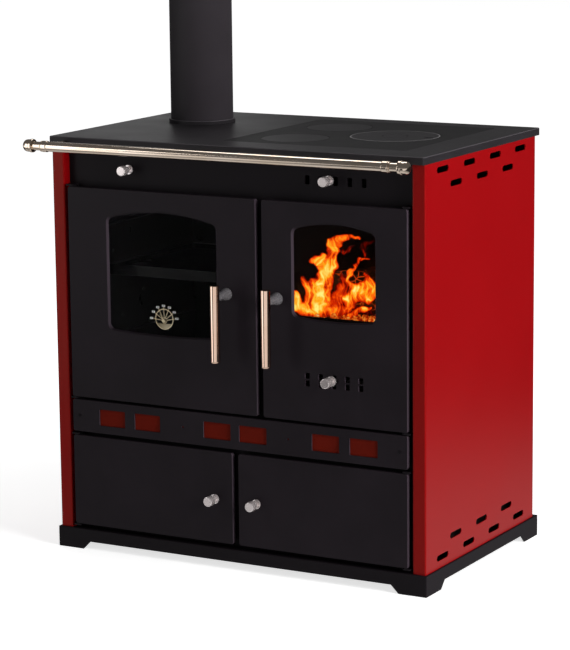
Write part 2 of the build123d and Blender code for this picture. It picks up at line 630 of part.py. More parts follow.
def knob(x, z, y_face, length=KNOB_L, bore_r=0.0):
    """Turned knob: base ring, grooved neck and ribbed head, pointing forward from y_face."""
    y_face -= NEAR
    y_head = y_face - length + KNOB_HEAD
    ring = fillet(bar_y(x, z, KNOB_RING_R, y_face - KNOB_RING_T, y_face).edges(), 0.8)
    neck = bar_y(x, z, KNOB_NECK_R, y_head - 1, y_face)
    head = bar_y(x, z, KNOB_R, y_face - length, y_head)
    head = fillet(head.edges().filter_by(GeomType.CIRCLE), 2.0)
    for i in range(2):
        y = y_face - length + 4.5 + 2.5 * i
        head -= bar_y(x, z, KNOB_R + 1, y, y + 1) - bar_y(x, z, KNOB_R - GROOVE, y, y + 1)
    y = (y_head + y_face - KNOB_RING_T) / 2
    neck -= bar_y(x, z, KNOB_NECK_R + 1, y, y + 1.2) - bar_y(x, z, KNOB_NECK_R - GROOVE, y, y + 1.2)
    for i in range(-2, 3):
        rib = block(x - KNOB_R, x + KNOB_R, y_face - length - 1, y_face - length + 0.6, z + i * 3.1 - 0.5,
                    z + i * 3.1 + 0.5)
        head -= rib
    body = ring + neck + head
    return body - bar_y(x, z, bore_r, y_face - KNOB_RING_T, y_face + 1) if bore_r else body


# ---- Air slides ----
SLIDE_T = 2.0
SLIDE_EDGE = 6.0


def air_slide(x_mid, z, pitch, height, y0, x_stem, z_stem, y_stem):
    """Strip with the same slots as the plate ahead of it, and a stem that carries the knob."""
    half = pitch * (AIR_SLOT_N - 1) / 2 + AIR_SLOT_W / 2 + SLIDE_EDGE
    strip = rect(x_mid - half, x_mid + half, z - height / 2 - SLIDE_EDGE, z + height / 2 + SLIDE_EDGE, 2.0)
    plate = front_plate(strip, y0, y0 + SLIDE_T)
    for hole in air_slots(x_mid, z, pitch, height):
        plate -= front_plate(hole, y0 - 1, y0 + SLIDE_T + 1)
    plate += bar_y(x_stem, z_stem, 5.0, y0, y0 + SLIDE_T)
    return plate + bar_y(x_stem, z_stem, STEM_R, y_stem, y0)


def fascia_air_slide():
    return air_slide(FASCIA_AIR_X, FASCIA_AIR_Z, FASCIA_AIR_PITCH, FASCIA_AIR_H, Y_FRAME + SEAT,
                     FASCIA_KNOB_X, FASCIA_KNOB_Z, Y_FASCIA - NEAR - KNOB_RING_T)


def fascia_slide_guides():
    """Two folded strips that hold the slide against the back of the fascia."""
    half = FASCIA_AIR_PITCH * (AIR_SLOT_N - 1) / 2 + AIR_SLOT_W / 2 + SLIDE_EDGE + AIR_TRAVEL
    guides = []
    for s in (-1, 1):
        edge = FASCIA_AIR_Z + s * (FASCIA_AIR_H / 2 + SLIDE_EDGE + SEAT)
        z0, z1 = sorted((edge, edge + s * 8))
        guide = block(FASCIA_AIR_X - half, FASCIA_AIR_X + half, Y_FRAME, Y_FRAME + SLIDE_T + 2 * SEAT, z0, z1)
        z0, z1 = sorted((edge - s * 3, edge + s * 8))
        y0 = Y_FRAME + SLIDE_T + 2 * SEAT
        guides.append(guide + block(FASCIA_AIR_X - half, FASCIA_AIR_X + half, y0, y0 + 1.5, z0, z1))
    return Compound(children=guides)


# ---- Cast top ----
HOB_W = 399.0
HOB_SIDE = 76.0          # hob plate in from the right side panel's face
HOB_FRONT = 76.0         # and from the top's front edge
HOB_BACK = 53.5          # and from its rear edge
HOB = (X_SIDE - HOB_SIDE - HOB_W, X_SIDE - HOB_SIDE, Y_TOP_FRONT + HOB_FRONT, Y_TOP_BACK - HOB_BACK)
HOB_T = 8.0
HOB_GAP = 1.0
HOB_LEDGE = 10.0
HOB_R = 4.0
RIM_W = 36.0
RIB_T = 12.0
TOP_CORNER = 4.0
LID_IN = 125.0           # lid centre in from the hob plate's right edge
LID_BACK = 4.0           # and behind its middle
LID_X = HOB[1] - LID_IN
LID_Y = (HOB[2] + HOB[3]) / 2 + LID_BACK
LID_R = 90.0
LID_T = 5.0
LID_LEDGE = 9.0
LID_GAP = 0.6
RING_IN = (109.0, 102.0)  # front and rear ring centres in from the plate's left edge
RING_FRONT = 94.0
RING_BACK = 108.0
RINGS = ((HOB[0] + RING_IN[0], HOB[2] + RING_FRONT), (HOB[0] + RING_IN[1], HOB[3] - RING_BACK))
RING_R = 69.0
RING_W = 1.6
RING_DEEP = 0.8


def plan_rect(x0, x1, y0, y1, r):
    return Pos((x0 + x1) / 2, (y0 + y1) / 2) * RectangleRounded(x1 - x0, y1 - y0, r)


def cooktop_plate():
    x = X_SIDE + TOP_OVER_SIDE
    top = plan_plate(plan_rect(-x, x, Y_TOP_FRONT, Y_TOP_BACK, TOP_CORNER), Z_BODY, HEIGHT)
    top = soften(top, Axis.Z, HEIGHT, 2.0)
    inner = plan_plate(plan_rect(-x + RIM_W, x - RIM_W, Y_TOP_FRONT + RIM_W, Y_CASING - 5, 8), Z_BODY - 1, Z_TOP_UNDER)
    hx0, hx1, hy0, hy1 = HOB
    frame = plan_plate(plan_rect(hx0 - RIB_T, hx1 + RIB_T, hy0 - RIB_T, hy1 + 5, 8), Z_BODY - 1, HEIGHT)
    cross = block(-x, hx0, -RIB_T / 2 - 60, RIB_T / 2 - 60, Z_BODY - 1, HEIGHT)
    top -= inner - frame - cross
    recess = plan_rect(hx0 - HOB_GAP, hx1 + HOB_GAP, hy0 - HOB_GAP, hy1 + HOB_GAP, HOB_R)
    top -= plan_plate(recess, HEIGHT - HOB_T, HEIGHT + 1)
    through = plan_rect(hx0 + HOB_LEDGE, hx1 - HOB_LEDGE, hy0 + HOB_LEDGE, hy1 - HOB_LEDGE, HOB_R)
    top -= plan_plate(through, Z_BODY - 1, HEIGHT)
    return top - bar_z(FLUE_X, FLUE_Y, FLUE_HOLE_R, Z_BODY - 1, HEIGHT + 1)


def hob_plate():
    plate = plan_plate(plan_rect(*HOB, HOB_R - HOB_GAP), HEIGHT - HOB_T, HEIGHT)
    plate = soften(plate, Axis.Z, HEIGHT, 0.8)
    plate -= bar_z(LID_X, LID_Y, LID_R + LID_GAP, HEIGHT - LID_T, HEIGHT + 1)
    plate -= bar_z(LID_X, LID_Y, LID_R - LID_LEDGE, HEIGHT - HOB_T - 1, HEIGHT)
    for x, y in RINGS:
        z0 = HEIGHT - RING_DEEP
        groove = bar_z(x, y, RING_R, z0, HEIGHT + 1) - bar_z(x, y, RING_R - RING_W, z0, HEIGHT + 1)
        plate -= groove
    return plate


def hob_lid():
    """Round lid with a pocket for the lifting tool."""
    lid = bar_z(LID_X, LID_Y, LID_R, HEIGHT - LID_T, HEIGHT)
    lid = soften(lid, Axis.Z, HEIGHT, 0.8)
    lid -= bar_z(LID_X, LID_Y, 26.5, HEIGHT - 0.8, HEIGHT + 1) - bar_z(LID_X, LID_Y, 25.0, HEIGHT - 0.8, HEIGHT + 1)
    x = LID_X + LID_R - 16
    pocket = Pos(x, LID_Y, HEIGHT - 3) * extrude(SlotOverall(20, 8), 4)
    return lid - pocket


def flue_collar():
    """Flange on the top with a spigot that the pipe slides over."""
    z1 = HEIGHT + COLLAR_H
    r_spigot = FLUE_R - FLUE_T - SPIGOT_GAP
    collar = soften(bar_z(FLUE_X, FLUE_Y, COLLAR_R, HEIGHT, z1), Axis.Z, z1, 1.5)
    collar += bar_z(FLUE_X, FLUE_Y, r_spigot, HEIGHT, z1 + SPIGOT_H)
    return collar - bar_z(FLUE_X, FLUE_Y, FLUE_HOLE_R, HEIGHT - 1, z1 + SPIGOT_H + 1)


def flue_pipe():
    z0 = HEIGHT + COLLAR_H
    pipe = bar_z(FLUE_X, FLUE_Y, FLUE_R, z0, z0 + FLUE_L)
    return pipe - bar_z(FLUE_X, FLUE_Y, FLUE_R - FLUE_T, z0 - 1, z0 + FLUE_L + 1)


# ---- Upper doors ----
DOOR_PLATE = 6.0         # front plate; behind it a pocket for glass and slide
DOOR_RIM = 14.0
LINER_T = 3.0
LINER_IN = 6.0
GLASS_LAP = 14.0
GLASS_R = 6.0
BEVEL = 3.0
WINDOW_R = 12.0
GASKET_W = 10.0
GASKET_OFF = 2.0         # gasket's inner edge outside the mouth
# A window: left, right, corner and middle heights of its bowed lower and upper edges.
OVEN_PANE_IN = (93.0, 90.0)     # window's sides in from the door's
OVEN_PANE_LOW = (148.0, 143.0)  # its lower corners and lowest point above the door's lower edge
OVEN_PANE_TOP = (59.5, 42.5)    # its upper corners and highest point below the door's upper edge
FIRE_PANE_IN = (68.3, 68.7)
FIRE_PANE_LOW = (208.0, 202.0)
FIRE_PANE_TOP = (54.5, 40.5)
OVEN_WINDOW = (OVEN_X0 + OVEN_PANE_IN[0], OVEN_X1 - OVEN_PANE_IN[1],
               DOOR_Z0 + OVEN_PANE_LOW[0], DOOR_Z0 + OVEN_PANE_LOW[1],
               DOOR_Z1 - OVEN_PANE_TOP[0], DOOR_Z1 - OVEN_PANE_TOP[1])
FIRE_WINDOW = (FIRE_X0 + FIRE_PANE_IN[0], FIRE_X1 - FIRE_PANE_IN[1],
               DOOR_Z0 + FIRE_PANE_LOW[0], DOOR_Z0 + FIRE_PANE_LOW[1],
               DOOR_Z1 - FIRE_PANE_TOP[0], DOOR_Z1 - FIRE_PANE_TOP[1])
Y_GLASS = Y_DOOR + DOOR_PLATE

SPINDLE_R = 5.0
SPINDLE_UP = 23.25       # spindle above the door's middle
OVEN_SPINDLE_IN = 66.0
FIRE_SPINDLE_IN = 33.6
DOOR_AIR_LEFT = 0.5      # slot row left of the fire door's middle
DOOR_AIR_UP = 84.5
SPINDLE_Z = (DOOR_Z0 + DOOR_Z1) / 2 + SPINDLE_UP
OVEN_SPINDLE_X = OVEN_X1 - OVEN_SPINDLE_IN
FIRE_SPINDLE_X = FIRE_X0 + FIRE_SPINDLE_IN
DOOR_AIR_X = (FIRE_X0 + FIRE_X1) / 2 - DOOR_AIR_LEFT
DOOR_AIR_PITCH = 29.2
DOOR_AIR_Z = DOOR_Z0 + DOOR_AIR_UP
DOOR_AIR_H = 27.0
DOOR_KNOB_LEFT = 4.6     # knob left of the middle slot
DOOR_KNOB_UP = 2.1
DOOR_KNOB_X = DOOR_AIR_X - DOOR_KNOB_LEFT
DOOR_KNOB_Z = DOOR_AIR_Z + DOOR_KNOB_UP
AIR_BAR = 3.0            # level bar across the middle of the fire door's slots


def window(spec, grow=0.0, r=WINDOW_R):
    """Window outline: upright sides, arched top and slightly bowed bottom."""
    x0, x1, low, low_mid, high, high_mid = spec
    x0, x1 = x0 - grow, x1 + grow
    low, low_mid, high, high_mid = low - grow, low_mid - grow, high + grow, high_mid + grow
    xm = (x0 + x1) / 2
    edges = Line((x0, low), (x0, high)) + ThreePointArc((x0, high), (xm, high_mid), (x1, high))
    edges += Line((x1, high), (x1, low)) + ThreePointArc((x1, low), (xm, low_mid), (x0, low))
    face = make_face(edges)
    return fillet(face.vertices(), r)


def glass_rect(spec, grow=0.0):
    x0, x1, low, high = spec[0], spec[1], spec[3], spec[5]
    lap = GLASS_LAP + grow
    return rect(x0 - lap, x1 + lap, low - lap, high + lap, GLASS_R)


def door_panel(x0, x1, spec):
    """Pressed front with a rim all round, a pocket behind and a bevelled window."""
    panel = front_plate(rect(x0, x1, DOOR_Z0, DOOR_Z1, DOOR_CORNER), Y_DOOR, Y_DOOR_BACK)
    panel = soften(panel, Axis.Y, Y_DOOR, EDGE_R)
    rim = DOOR_RIM
    panel -= front_plate(rect(x0 + rim, x1 - rim, DOOR_Z0 + rim, DOOR_Z1 - rim, 2.0), Y_GLASS, Y_DOOR_BACK + 1)
    opening = front_plate(window(spec), Y_DOOR - 1, Y_GLASS + 1)
    flare = loft([Plane.XZ.offset(-Y_DOOR) * window(spec, BEVEL, WINDOW_R + BEVEL),
                  Plane.XZ.offset(-Y_DOOR - BEVEL) * window(spec)])
    return panel - opening - flare


def door_liner(x0, x1, spec):
    """Inner sheet with a stiffening rib, open behind the window."""
    i = LINER_IN
    y0, y1 = Y_DOOR_BACK, Y_DOOR_BACK + LINER_T
    liner = front_plate(rect(x0 + i, x1 - i, DOOR_Z0 + i, DOOR_Z1 - i, 3.0), y0, y1)
    return liner - front_plate(window(spec, 4.0), y0 - 1, y1 + 1)


def gasket(mouth):
    """Rope seal around a mouth, just short of the frame."""
    x0, x1, z0, z1 = mouth
    a, b = GASKET_OFF, GASKET_OFF + GASKET_W
    y0, y1 = Y_DOOR_BACK + LINER_T, Y_FASCIA - NEAR
    ring = front_plate(rect(x0 - b, x1 + b, z0 - b, z1 + b, 10.0), y0, y1)
    ring -= front_plate(rect(x0 - a, x1 + a, z0 - a, z1 + a, 3.0), y0 - 1, y1 + 1)
    return fillet(ring.edges().filter_by_position(Axis.Y, y1 - 0.01, y1 + 0.01), 3.0)


def oven_door_panel():
    panel = door_panel(OVEN_X0, OVEN_X1, OVEN_WINDOW)
    panel -= bar_y(OVEN_SPINDLE_X, SPINDLE_Z, SPINDLE_R + RUN, Y_DOOR - 1, Y_DOOR_BACK + 1)
    return panel - mirrored(pin_bores(DOOR_Z0, DOOR_Z1))


def oven_door_liner():
    liner = door_liner(OVEN_X0, OVEN_X1, OVEN_WINDOW)
    return liner - bar_y(OVEN_SPINDLE_X, SPINDLE_Z, SPINDLE_R + RUN, Y_DOOR_BACK - 1, Y_DOOR_BACK + 9)


def slide_guide_rails():
    """Ribs in the fire door's pocket, above and below the air slide."""
    half = DOOR_AIR_PITCH * (AIR_SLOT_N - 1) / 2 + AIR_SLOT_W / 2 + SLIDE_EDGE + AIR_TRAVEL
    rails = []
    for s in (-1, 1):
        edge = DOOR_AIR_Z + s * (DOOR_AIR_H / 2 + SLIDE_EDGE + SEAT)
        z0, z1 = sorted((edge, edge + s * 5))
        rails.append(block(DOOR_AIR_X - half, DOOR_AIR_X + half, Y_GLASS, Y_DOOR_BACK, z0, z1))
    return rails


def fire_door_panel():
    panel = door_panel(FIRE_X0, FIRE_X1, FIRE_WINDOW)
    for rail in slide_guide_rails():
        panel += rail
    for hole in air_slots(DOOR_AIR_X, DOOR_AIR_Z, DOOR_AIR_PITCH, DOOR_AIR_H):
        cut = front_plate(hole, Y_DOOR - 1, Y_GLASS + 1)
        level = block(OVEN_X0, FIRE_X1, Y_DOOR - 2, Y_GLASS + 2, DOOR_AIR_Z - AIR_BAR / 2, DOOR_AIR_Z + AIR_BAR / 2)
        panel -= cut - level
    panel -= front_plate(stem_slit(DOOR_KNOB_X, DOOR_KNOB_Z), Y_DOOR - 1, Y_GLASS + 1)
    panel -= bar_y(FIRE_SPINDLE_X, SPINDLE_Z, SPINDLE_R + RUN, Y_DOOR - 1, Y_DOOR_BACK + 1)
    return panel - pin_bores(DOOR_Z0, DOOR_Z1)


def fire_door_liner():
    liner = door_liner(FIRE_X0, FIRE_X1, FIRE_WINDOW)
    half = DOOR_AIR_PITCH * (AIR_SLOT_N - 1) / 2 + AIR_SLOT_W / 2
    inlet = rect(DOOR_AIR_X - half, DOOR_AIR_X + half, DOOR_AIR_Z - DOOR_AIR_H / 2, DOOR_AIR_Z + DOOR_AIR_H / 2, 3)
    liner -= front_plate(inlet, Y_DOOR_BACK - 1, Y_DOOR_BACK + LINER_T + 1)
    return liner - bar_y(FIRE_SPINDLE_X, SPINDLE_Z, SPINDLE_R + RUN, Y_DOOR_BACK - 1, Y_DOOR_BACK + 9)


def door_air_slide():
    return air_slide(DOOR_AIR_X, DOOR_AIR_Z, DOOR_AIR_PITCH, DOOR_AIR_H, Y_GLASS + SEAT,
                     DOOR_KNOB_X, DOOR_KNOB_Z, Y_DOOR - NEAR - KNOB_RING_T)


def door_glass(spec):
    return front_plate(glass_rect(spec), Y_GLASS, Y_DOOR_BACK)


# ---- Oven thermometer on the glass ----
THERMO_RIGHT = 2.0       # dial centre right of the window's middle
THERMO_UP = 25.0         # and above its lower corners
THERMO_X = (OVEN_WINDOW[0] + OVEN_WINDOW[1]) / 2 + THERMO_RIGHT
THERMO_Z = OVEN_WINDOW[2] + THERMO_UP
THERMO_STEM_R = 4.0
WIRE_R = 21.0            # wire ring, a little above the arbor
WIRE_UP = 3.0
WIRE_W = 1.6
HUB_R = 6.0
TAB_N = 7
TAB_FIRST = 12.0         # angle of the lowest tab on the right, and from tab to tab
TAB_STEP = 27.0
TAB_R = 30.0
TAB_W = 7.4
TAB_H = 4.4
DIAL_T = 1.2
DISH_DOWN = 5.6          # dish's straight edge below the arbor
DISH_DEEP = 5.0
NEEDLE_L = 16.0


def spoke(angle):
    """One wire of the dial from its hub, ending in a level tab for a number."""
    wire = Pos(TAB_R / 2, 0) * Rectangle(TAB_R, WIRE_W * 0.75)
    tip = Pos(TAB_R, 0) * Rot(0, 0, -angle) * RectangleRounded(TAB_W, TAB_H, 1.0)
    return Rot(0, 0, angle) * (wire + tip)


def thermometer_dish():
    """Domed lower part of the dial, cut straight below the arbor."""
    round_r = (WIRE_R ** 2 + DISH_DEEP ** 2) / (2 * DISH_DEEP)
    shape = Pos(0, WIRE_UP) * Circle(WIRE_R) - Pos(0, WIRE_R - DISH_DOWN) * Rectangle(3 * WIRE_R, 2 * WIRE_R)
    segment = front_plate(Pos(THERMO_X, THERMO_Z) * shape, Y_GLASS - DISH_DEEP, Y_GLASS)
    return segment & Pos(THERMO_X, Y_GLASS - DISH_DEEP + round_r, THERMO_Z + WIRE_UP) * Sphere(round_r)


def thermometer_dial():
    """Open dial on the glass: wire ring, spokes to seven number tabs, hub, stem and domed dish."""
    face = Pos(0, WIRE_UP) * (Circle(WIRE_R) - Circle(WIRE_R - WIRE_W)) + Circle(HUB_R)
    for i in range(TAB_N):
        face += spoke(TAB_FIRST + i * TAB_STEP)
    dial = front_plate(Pos(THERMO_X, THERMO_Z) * face, Y_GLASS - DIAL_T, Y_GLASS) + thermometer_dish()
    stem = bar_y(THERMO_X, THERMO_Z, THERMO_STEM_R - RUN, Y_GLASS - DIAL_T, Y_DOOR_BACK + 9)
    return dial + stem - bar_y(THERMO_X, THERMO_Z, 1.0 + RUN, Y_GLASS - DIAL_T - 1, Y_GLASS + 3)


def thermometer_needle():
    """Needle and cap, turning on a thin arbor in the dial's stem."""
    y1 = Y_GLASS - DIAL_T - NEAR
    needle = make_face(Polyline((-1.6, -4), (1.6, -4), (0.4, NEEDLE_L), (-0.4, NEEDLE_L), close=True))
    needle = front_plate(Pos(THERMO_X, THERMO_Z) * Rot(0, 0, 35) * needle, y1 - 0.8, y1)
    cap = bar_y(THERMO_X, THERMO_Z, 4.5, y1 - 2.6, y1)
    cap = soften(cap, Axis.Y, y1 - 2.6, 1.6)
    return needle + cap + bar_y(THERMO_X, THERMO_Z, 1.0, y1, Y_GLASS + 2.5)


# ---- Upright bar handles ----
BAR_R = 9.7
BAR_DOWN = 129.5         # bar's lower end below the spindle
BAR_UP = 24.5
BAR_Z0 = SPINDLE_Z - BAR_DOWN
BAR_Z1 = SPINDLE_Z + BAR_UP
BAR_OUT = 46.0           # bar axis ahead of the door's face
NECK_R0 = 12.6
NECK_R1 = 8.6
Y_BAR = Y_DOOR - BAR_OUT
FINGER_SHORT = 4.0       # finger's tip inside the cavity's side
OVEN_FINGER_TIP = OVEN_CAVITY[1] - FINGER_SHORT
FIRE_FINGER_TIP = X_FIRE0 + FINGER_SHORT
FINGER_W = 12.0
FINGER_T = 8.0
FINGER_GAP = 5.5         # behind the frame plate
FINGER_HUB_R = 9.0


def handle_bar(x):
    bar = bar_z(x, Y_BAR, BAR_R, BAR_Z0, BAR_Z1)
    bar = soften(bar, Axis.Z, BAR_Z1, 1.2)
    return soften(bar, Axis.Z, BAR_Z0, 4.0)


def handle_neck(x):
    """Flared neck from the door's face to the bar, on the spindle that goes through the door."""
    y0, y1 = Y_BAR, Y_DOOR - NEAR
    flare = Spline((NECK_R0, y1 - 3), (NECK_R1 + 1.2, y1 - 14), (NECK_R1, y0), tangents=[(-0.15, -1), (0, -1)])
    outline = Line((0, y0), (0, y1)) + Line((0, y1), (NECK_R0, y1)) + Line((NECK_R0, y1), (NECK_R0, y1 - 3))
    outline += flare + Line((NECK_R1, y0), (0, y0))
    neck = Pos(x, 0, SPINDLE_Z) * revolve(make_face(outline), Axis.Y)
    neck -= bar_z(x, Y_BAR, BAR_R, SPINDLE_Z - 20, SPINDLE_Z + 20)
    neck = max(neck.solids(), key=lambda s: s.volume)
    spindle = bar_y(x, SPINDLE_Z, SPINDLE_R, y1, Y_FRAME + FINGER_GAP + FINGER_T)
    flats = block(x - 10, x + 10, Y_FRAME + FINGER_GAP, Y_FRAME + FINGER_GAP + 20, SPINDLE_Z - 10, SPINDLE_Z + 10)
    flats -= block(x - 10, x + 10, Y_FRAME, Y_FRAME + 40, SPINDLE_Z - 3.5, SPINDLE_Z + 3.5)
    return neck + (spindle - flats)


def latch_finger(x, tip_x):
    """Arm on the spindle's end: upright when free, it swings behind the frame to hold the door."""
    y0 = Y_FRAME + FINGER_GAP
    length = abs(tip_x - x)
    arm = Pos(x, SPINDLE_Z + length / 2) * RectangleRounded(FINGER_W, length, 4.0)
    arm += Pos(x, SPINDLE_Z) * Circle(FINGER_HUB_R)
    shape = front_plate(arm, y0, y0 + FINGER_T)
    hole = bar_y(x, SPINDLE_Z, SPINDLE_R, y0 - 1, y0 + FINGER_T + 1)
    hole -= block(x - 10, x + 10, y0 - 2, y0 + FINGER_T + 2, SPINDLE_Z + 3.5, SPINDLE_Z + 10)
    hole -= block(x - 10, x + 10, y0 - 2, y0 + FINGER_T + 2, SPINDLE_Z - 10, SPINDLE_Z - 3.5)
    return shape - hole


# ---- Lower doors ----
TRAY_FRONT = 2.5
LOWER_KNOB_IN = 40.7     # knob in from the door's meeting edge
LOWER_KNOB_DROP = 3.75   # and below the door's middle
LOWER_KNOB_X = LOWER_X + LOWER_KNOB_IN
LOWER_KNOB_Z = (LOWER_Z0 + LOWER_Z1) / 2 - LOWER_KNOB_DROP


def lower_door_right():
    """Pressed tray with turned-back edges."""
    x0, x1, z0, z1 = LOWER_X, X_DOOR, LOWER_Z0, LOWER_Z1
    t = TRAY_FRONT
    door = front_plate(rect(x0, x1, z0, z1, DOOR_CORNER), Y_DOOR, Y_DOOR_BACK)
    door = soften(door, Axis.Y, Y_DOOR, EDGE_R)
    hollow = rect(x0 + t, x1 - t, z0 + t, z1 - t, DOOR_CORNER - t)
    door -= front_plate(hollow, Y_DOOR + t, Y_DOOR_BACK + 1)
    for z in (z0, z1 - PIN_DEEP - 2):
        door += block(X_PIVOT - 8, x1 - 1, Y_DOOR + t, Y_DOOR_BACK, z + 1, z + PIN_DEEP + 1)
    door -= bar_y(LOWER_KNOB_X, LOWER_KNOB_Z, SCREW_R, Y_DOOR - 1, Y_DOOR + t + 1)
    return door - pin_bores(z0, z1)


def lower_knob_right():
    """Knob with its screw and nut behind the door's front."""
    x, z = LOWER_KNOB_X, LOWER_KNOB_Z
    body = Pos(0, NEAR, 0) * knob(x, z, Y_DOOR)
    screw = bar_y(x, z, SCREW_R, Y_DOOR - 1, Y_DOOR + TRAY_FRONT + 5)
    nut = Pos(0, Y_DOOR + TRAY_FRONT + 3, 0) * extrude(Plane.XZ * (Pos(x, z) * RegularPolygon(4.2, 6)), 3)
    return body + screw + nut


# ---- Trim strip ----
CUT_SHARES = ((0.025, 0.189), (0.454, 0.612), (0.672, 0.832))  # of the strip's half length
STRIP_CUTS = [(X_DOOR * near, X_DOOR * far) for near, far in CUT_SHARES]
CUT_Z0 = 16.0            # cut-outs above the strip's lower edge
CUT_Z1 = 50.0
DOT_SHARE = 0.315
DOT_X = X_DOOR * DOT_SHARE
DOT_R = 2.5
STRIP_SCREW_IN = 16.4
STRIP_SCREW_X = X_DOOR - STRIP_SCREW_IN
BACKING_T = 2.0
SPACER_R = 7.0
STRIP_MID = STRIP_Z0 + STRIP_H / 2


def trim_strip():
    x, t = X_DOOR, TRAY_FRONT
    strip = front_plate(rect(-x, x, STRIP_Z0, STRIP_Z1, DOOR_CORNER), Y_DOOR, Y_DOOR_BACK)
    strip = soften(strip, Axis.Y, Y_DOOR, EDGE_R)
    hollow = rect(-x + t, x - t, STRIP_Z0 + t, STRIP_Z1 - t, DOOR_CORNER - t)
    strip -= front_plate(hollow, Y_DOOR + t, Y_DOOR_BACK + 1)
    for side in (-1, 1):
        for a, b in STRIP_CUTS:
            x0, x1 = sorted((side * a, side * b))
            strip -= front_plate(rect(x0, x1, STRIP_Z0 + CUT_Z0, STRIP_Z0 + CUT_Z1, 2.0), Y_DOOR - 1, Y_DOOR + t + 1)
        strip -= bar_y(side * DOT_X, STRIP_MID, DOT_R, Y_DOOR - 1, Y_DOOR + t + 1)
        strip += bar_y(side * STRIP_SCREW_X, STRIP_MID, SPACER_R, Y_DOOR + t, Y_FASCIA)
        strip -= bar_y(side * STRIP_SCREW_X, STRIP_MID, SCREW_R, Y_DOOR - 1, Y_FASCIA + 1)
    return strip


def trim_backing():
    """Red strip behind the cut-outs."""
    x = STRIP_SCREW_X - SPACER_R - 3.0
    y0 = Y_DOOR + TRAY_FRONT
    z0, z1 = STRIP_Z0 + TRAY_FRONT + 1.0, STRIP_Z1 - TRAY_FRONT - 1.0
    return front_plate(rect(-x, x, z0, z1, 2.0), y0, y0 + BACKING_T)


def trim_screws():
    screws = []
    for side in (-1, 1):
        x = side * STRIP_SCREW_X
        head = bar_y(x, STRIP_MID, 3.6, Y_DOOR - 1.2, Y_DOOR)
        head = soften(head, Axis.Y, Y_DOOR - 1.2, 0.8)
        head -= block(x - 2.6, x + 2.6, Y_DOOR - 2, Y_DOOR - 0.6, STRIP_MID - 0.5, STRIP_MID + 0.5)
        screws.append(head + bar_y(x, STRIP_MID, SCREW_R, Y_DOOR, Y_FASCIA - 1))
    return Compound(children=screws)


# ---- Towel rail ----
FINIAL_OUT = 9.0         # rail's end beyond the side panel's face
RAIL_END = X_SIDE + FINIAL_OUT
CAP_L = 22.5             # cap on the rail's end: flange, then a domed knob
FLANGE_L = 8.0
CAP_R = 12.4
DOME_R = 9.0
NECK_L = 17.5
NECK_RAIL_R = 8.8
COLLAR_L = 16.0
COLLAR_RAIL_R = 11.3
BAND_L = 3.0             # narrow band on the collar's outer end
FLANGE_X0 = RAIL_END - CAP_L
COLLAR_X1 = FLANGE_X0 - NECK_L
COLLAR_X0 = COLLAR_X1 - COLLAR_L
POST_X = (COLLAR_X0 + COLLAR_X1) / 2
POST_R = 4.0


def towel_rail():
    return bar_x(-COLLAR_X0, COLLAR_X0, Y_RAIL, Z_RAIL, RAIL_R)


def rail_ring(x0, x1, r, soft):
    ring = bar_x(x0, x1, Y_RAIL, Z_RAIL, r)
    return fillet(ring.edges().filter_by(GeomType.CIRCLE), soft)


def rail_fitting_right():
    """Banded collar, neck and flanged domed cap on the rail's end, and the post back to the top's edge."""
    collar = rail_ring(COLLAR_X0, COLLAR_X1 - BAND_L, COLLAR_RAIL_R, 1.6)
    band = rail_ring(COLLAR_X1 - BAND_L, COLLAR_X1, COLLAR_RAIL_R - 0.6, 0.8)
    neck = bar_x(COLLAR_X1 - 1, FLANGE_X0 + 1, Y_RAIL, Z_RAIL, NECK_RAIL_R)
    flange = rail_ring(FLANGE_X0, FLANGE_X0 + FLANGE_L, RAIL_RING_R, 2.2)
    cap = bar_x(FLANGE_X0 + FLANGE_L - 1, RAIL_END, Y_RAIL, Z_RAIL, CAP_R)
    cap = fillet(cap.edges().filter_by_position(Axis.X, RAIL_END - 0.01, RAIL_END + 0.01), DOME_R)
    post = bar_y(POST_X, Z_RAIL, POST_R, Y_RAIL, Y_TOP_FRONT)
    foot = bar_y(POST_X, Z_RAIL + 3.5 - POST_R + 0.5, POST_R, Y_TOP_FRONT - 3, Y_TOP_FRONT)
    return collar + band + neck + flange + cap + post + foot


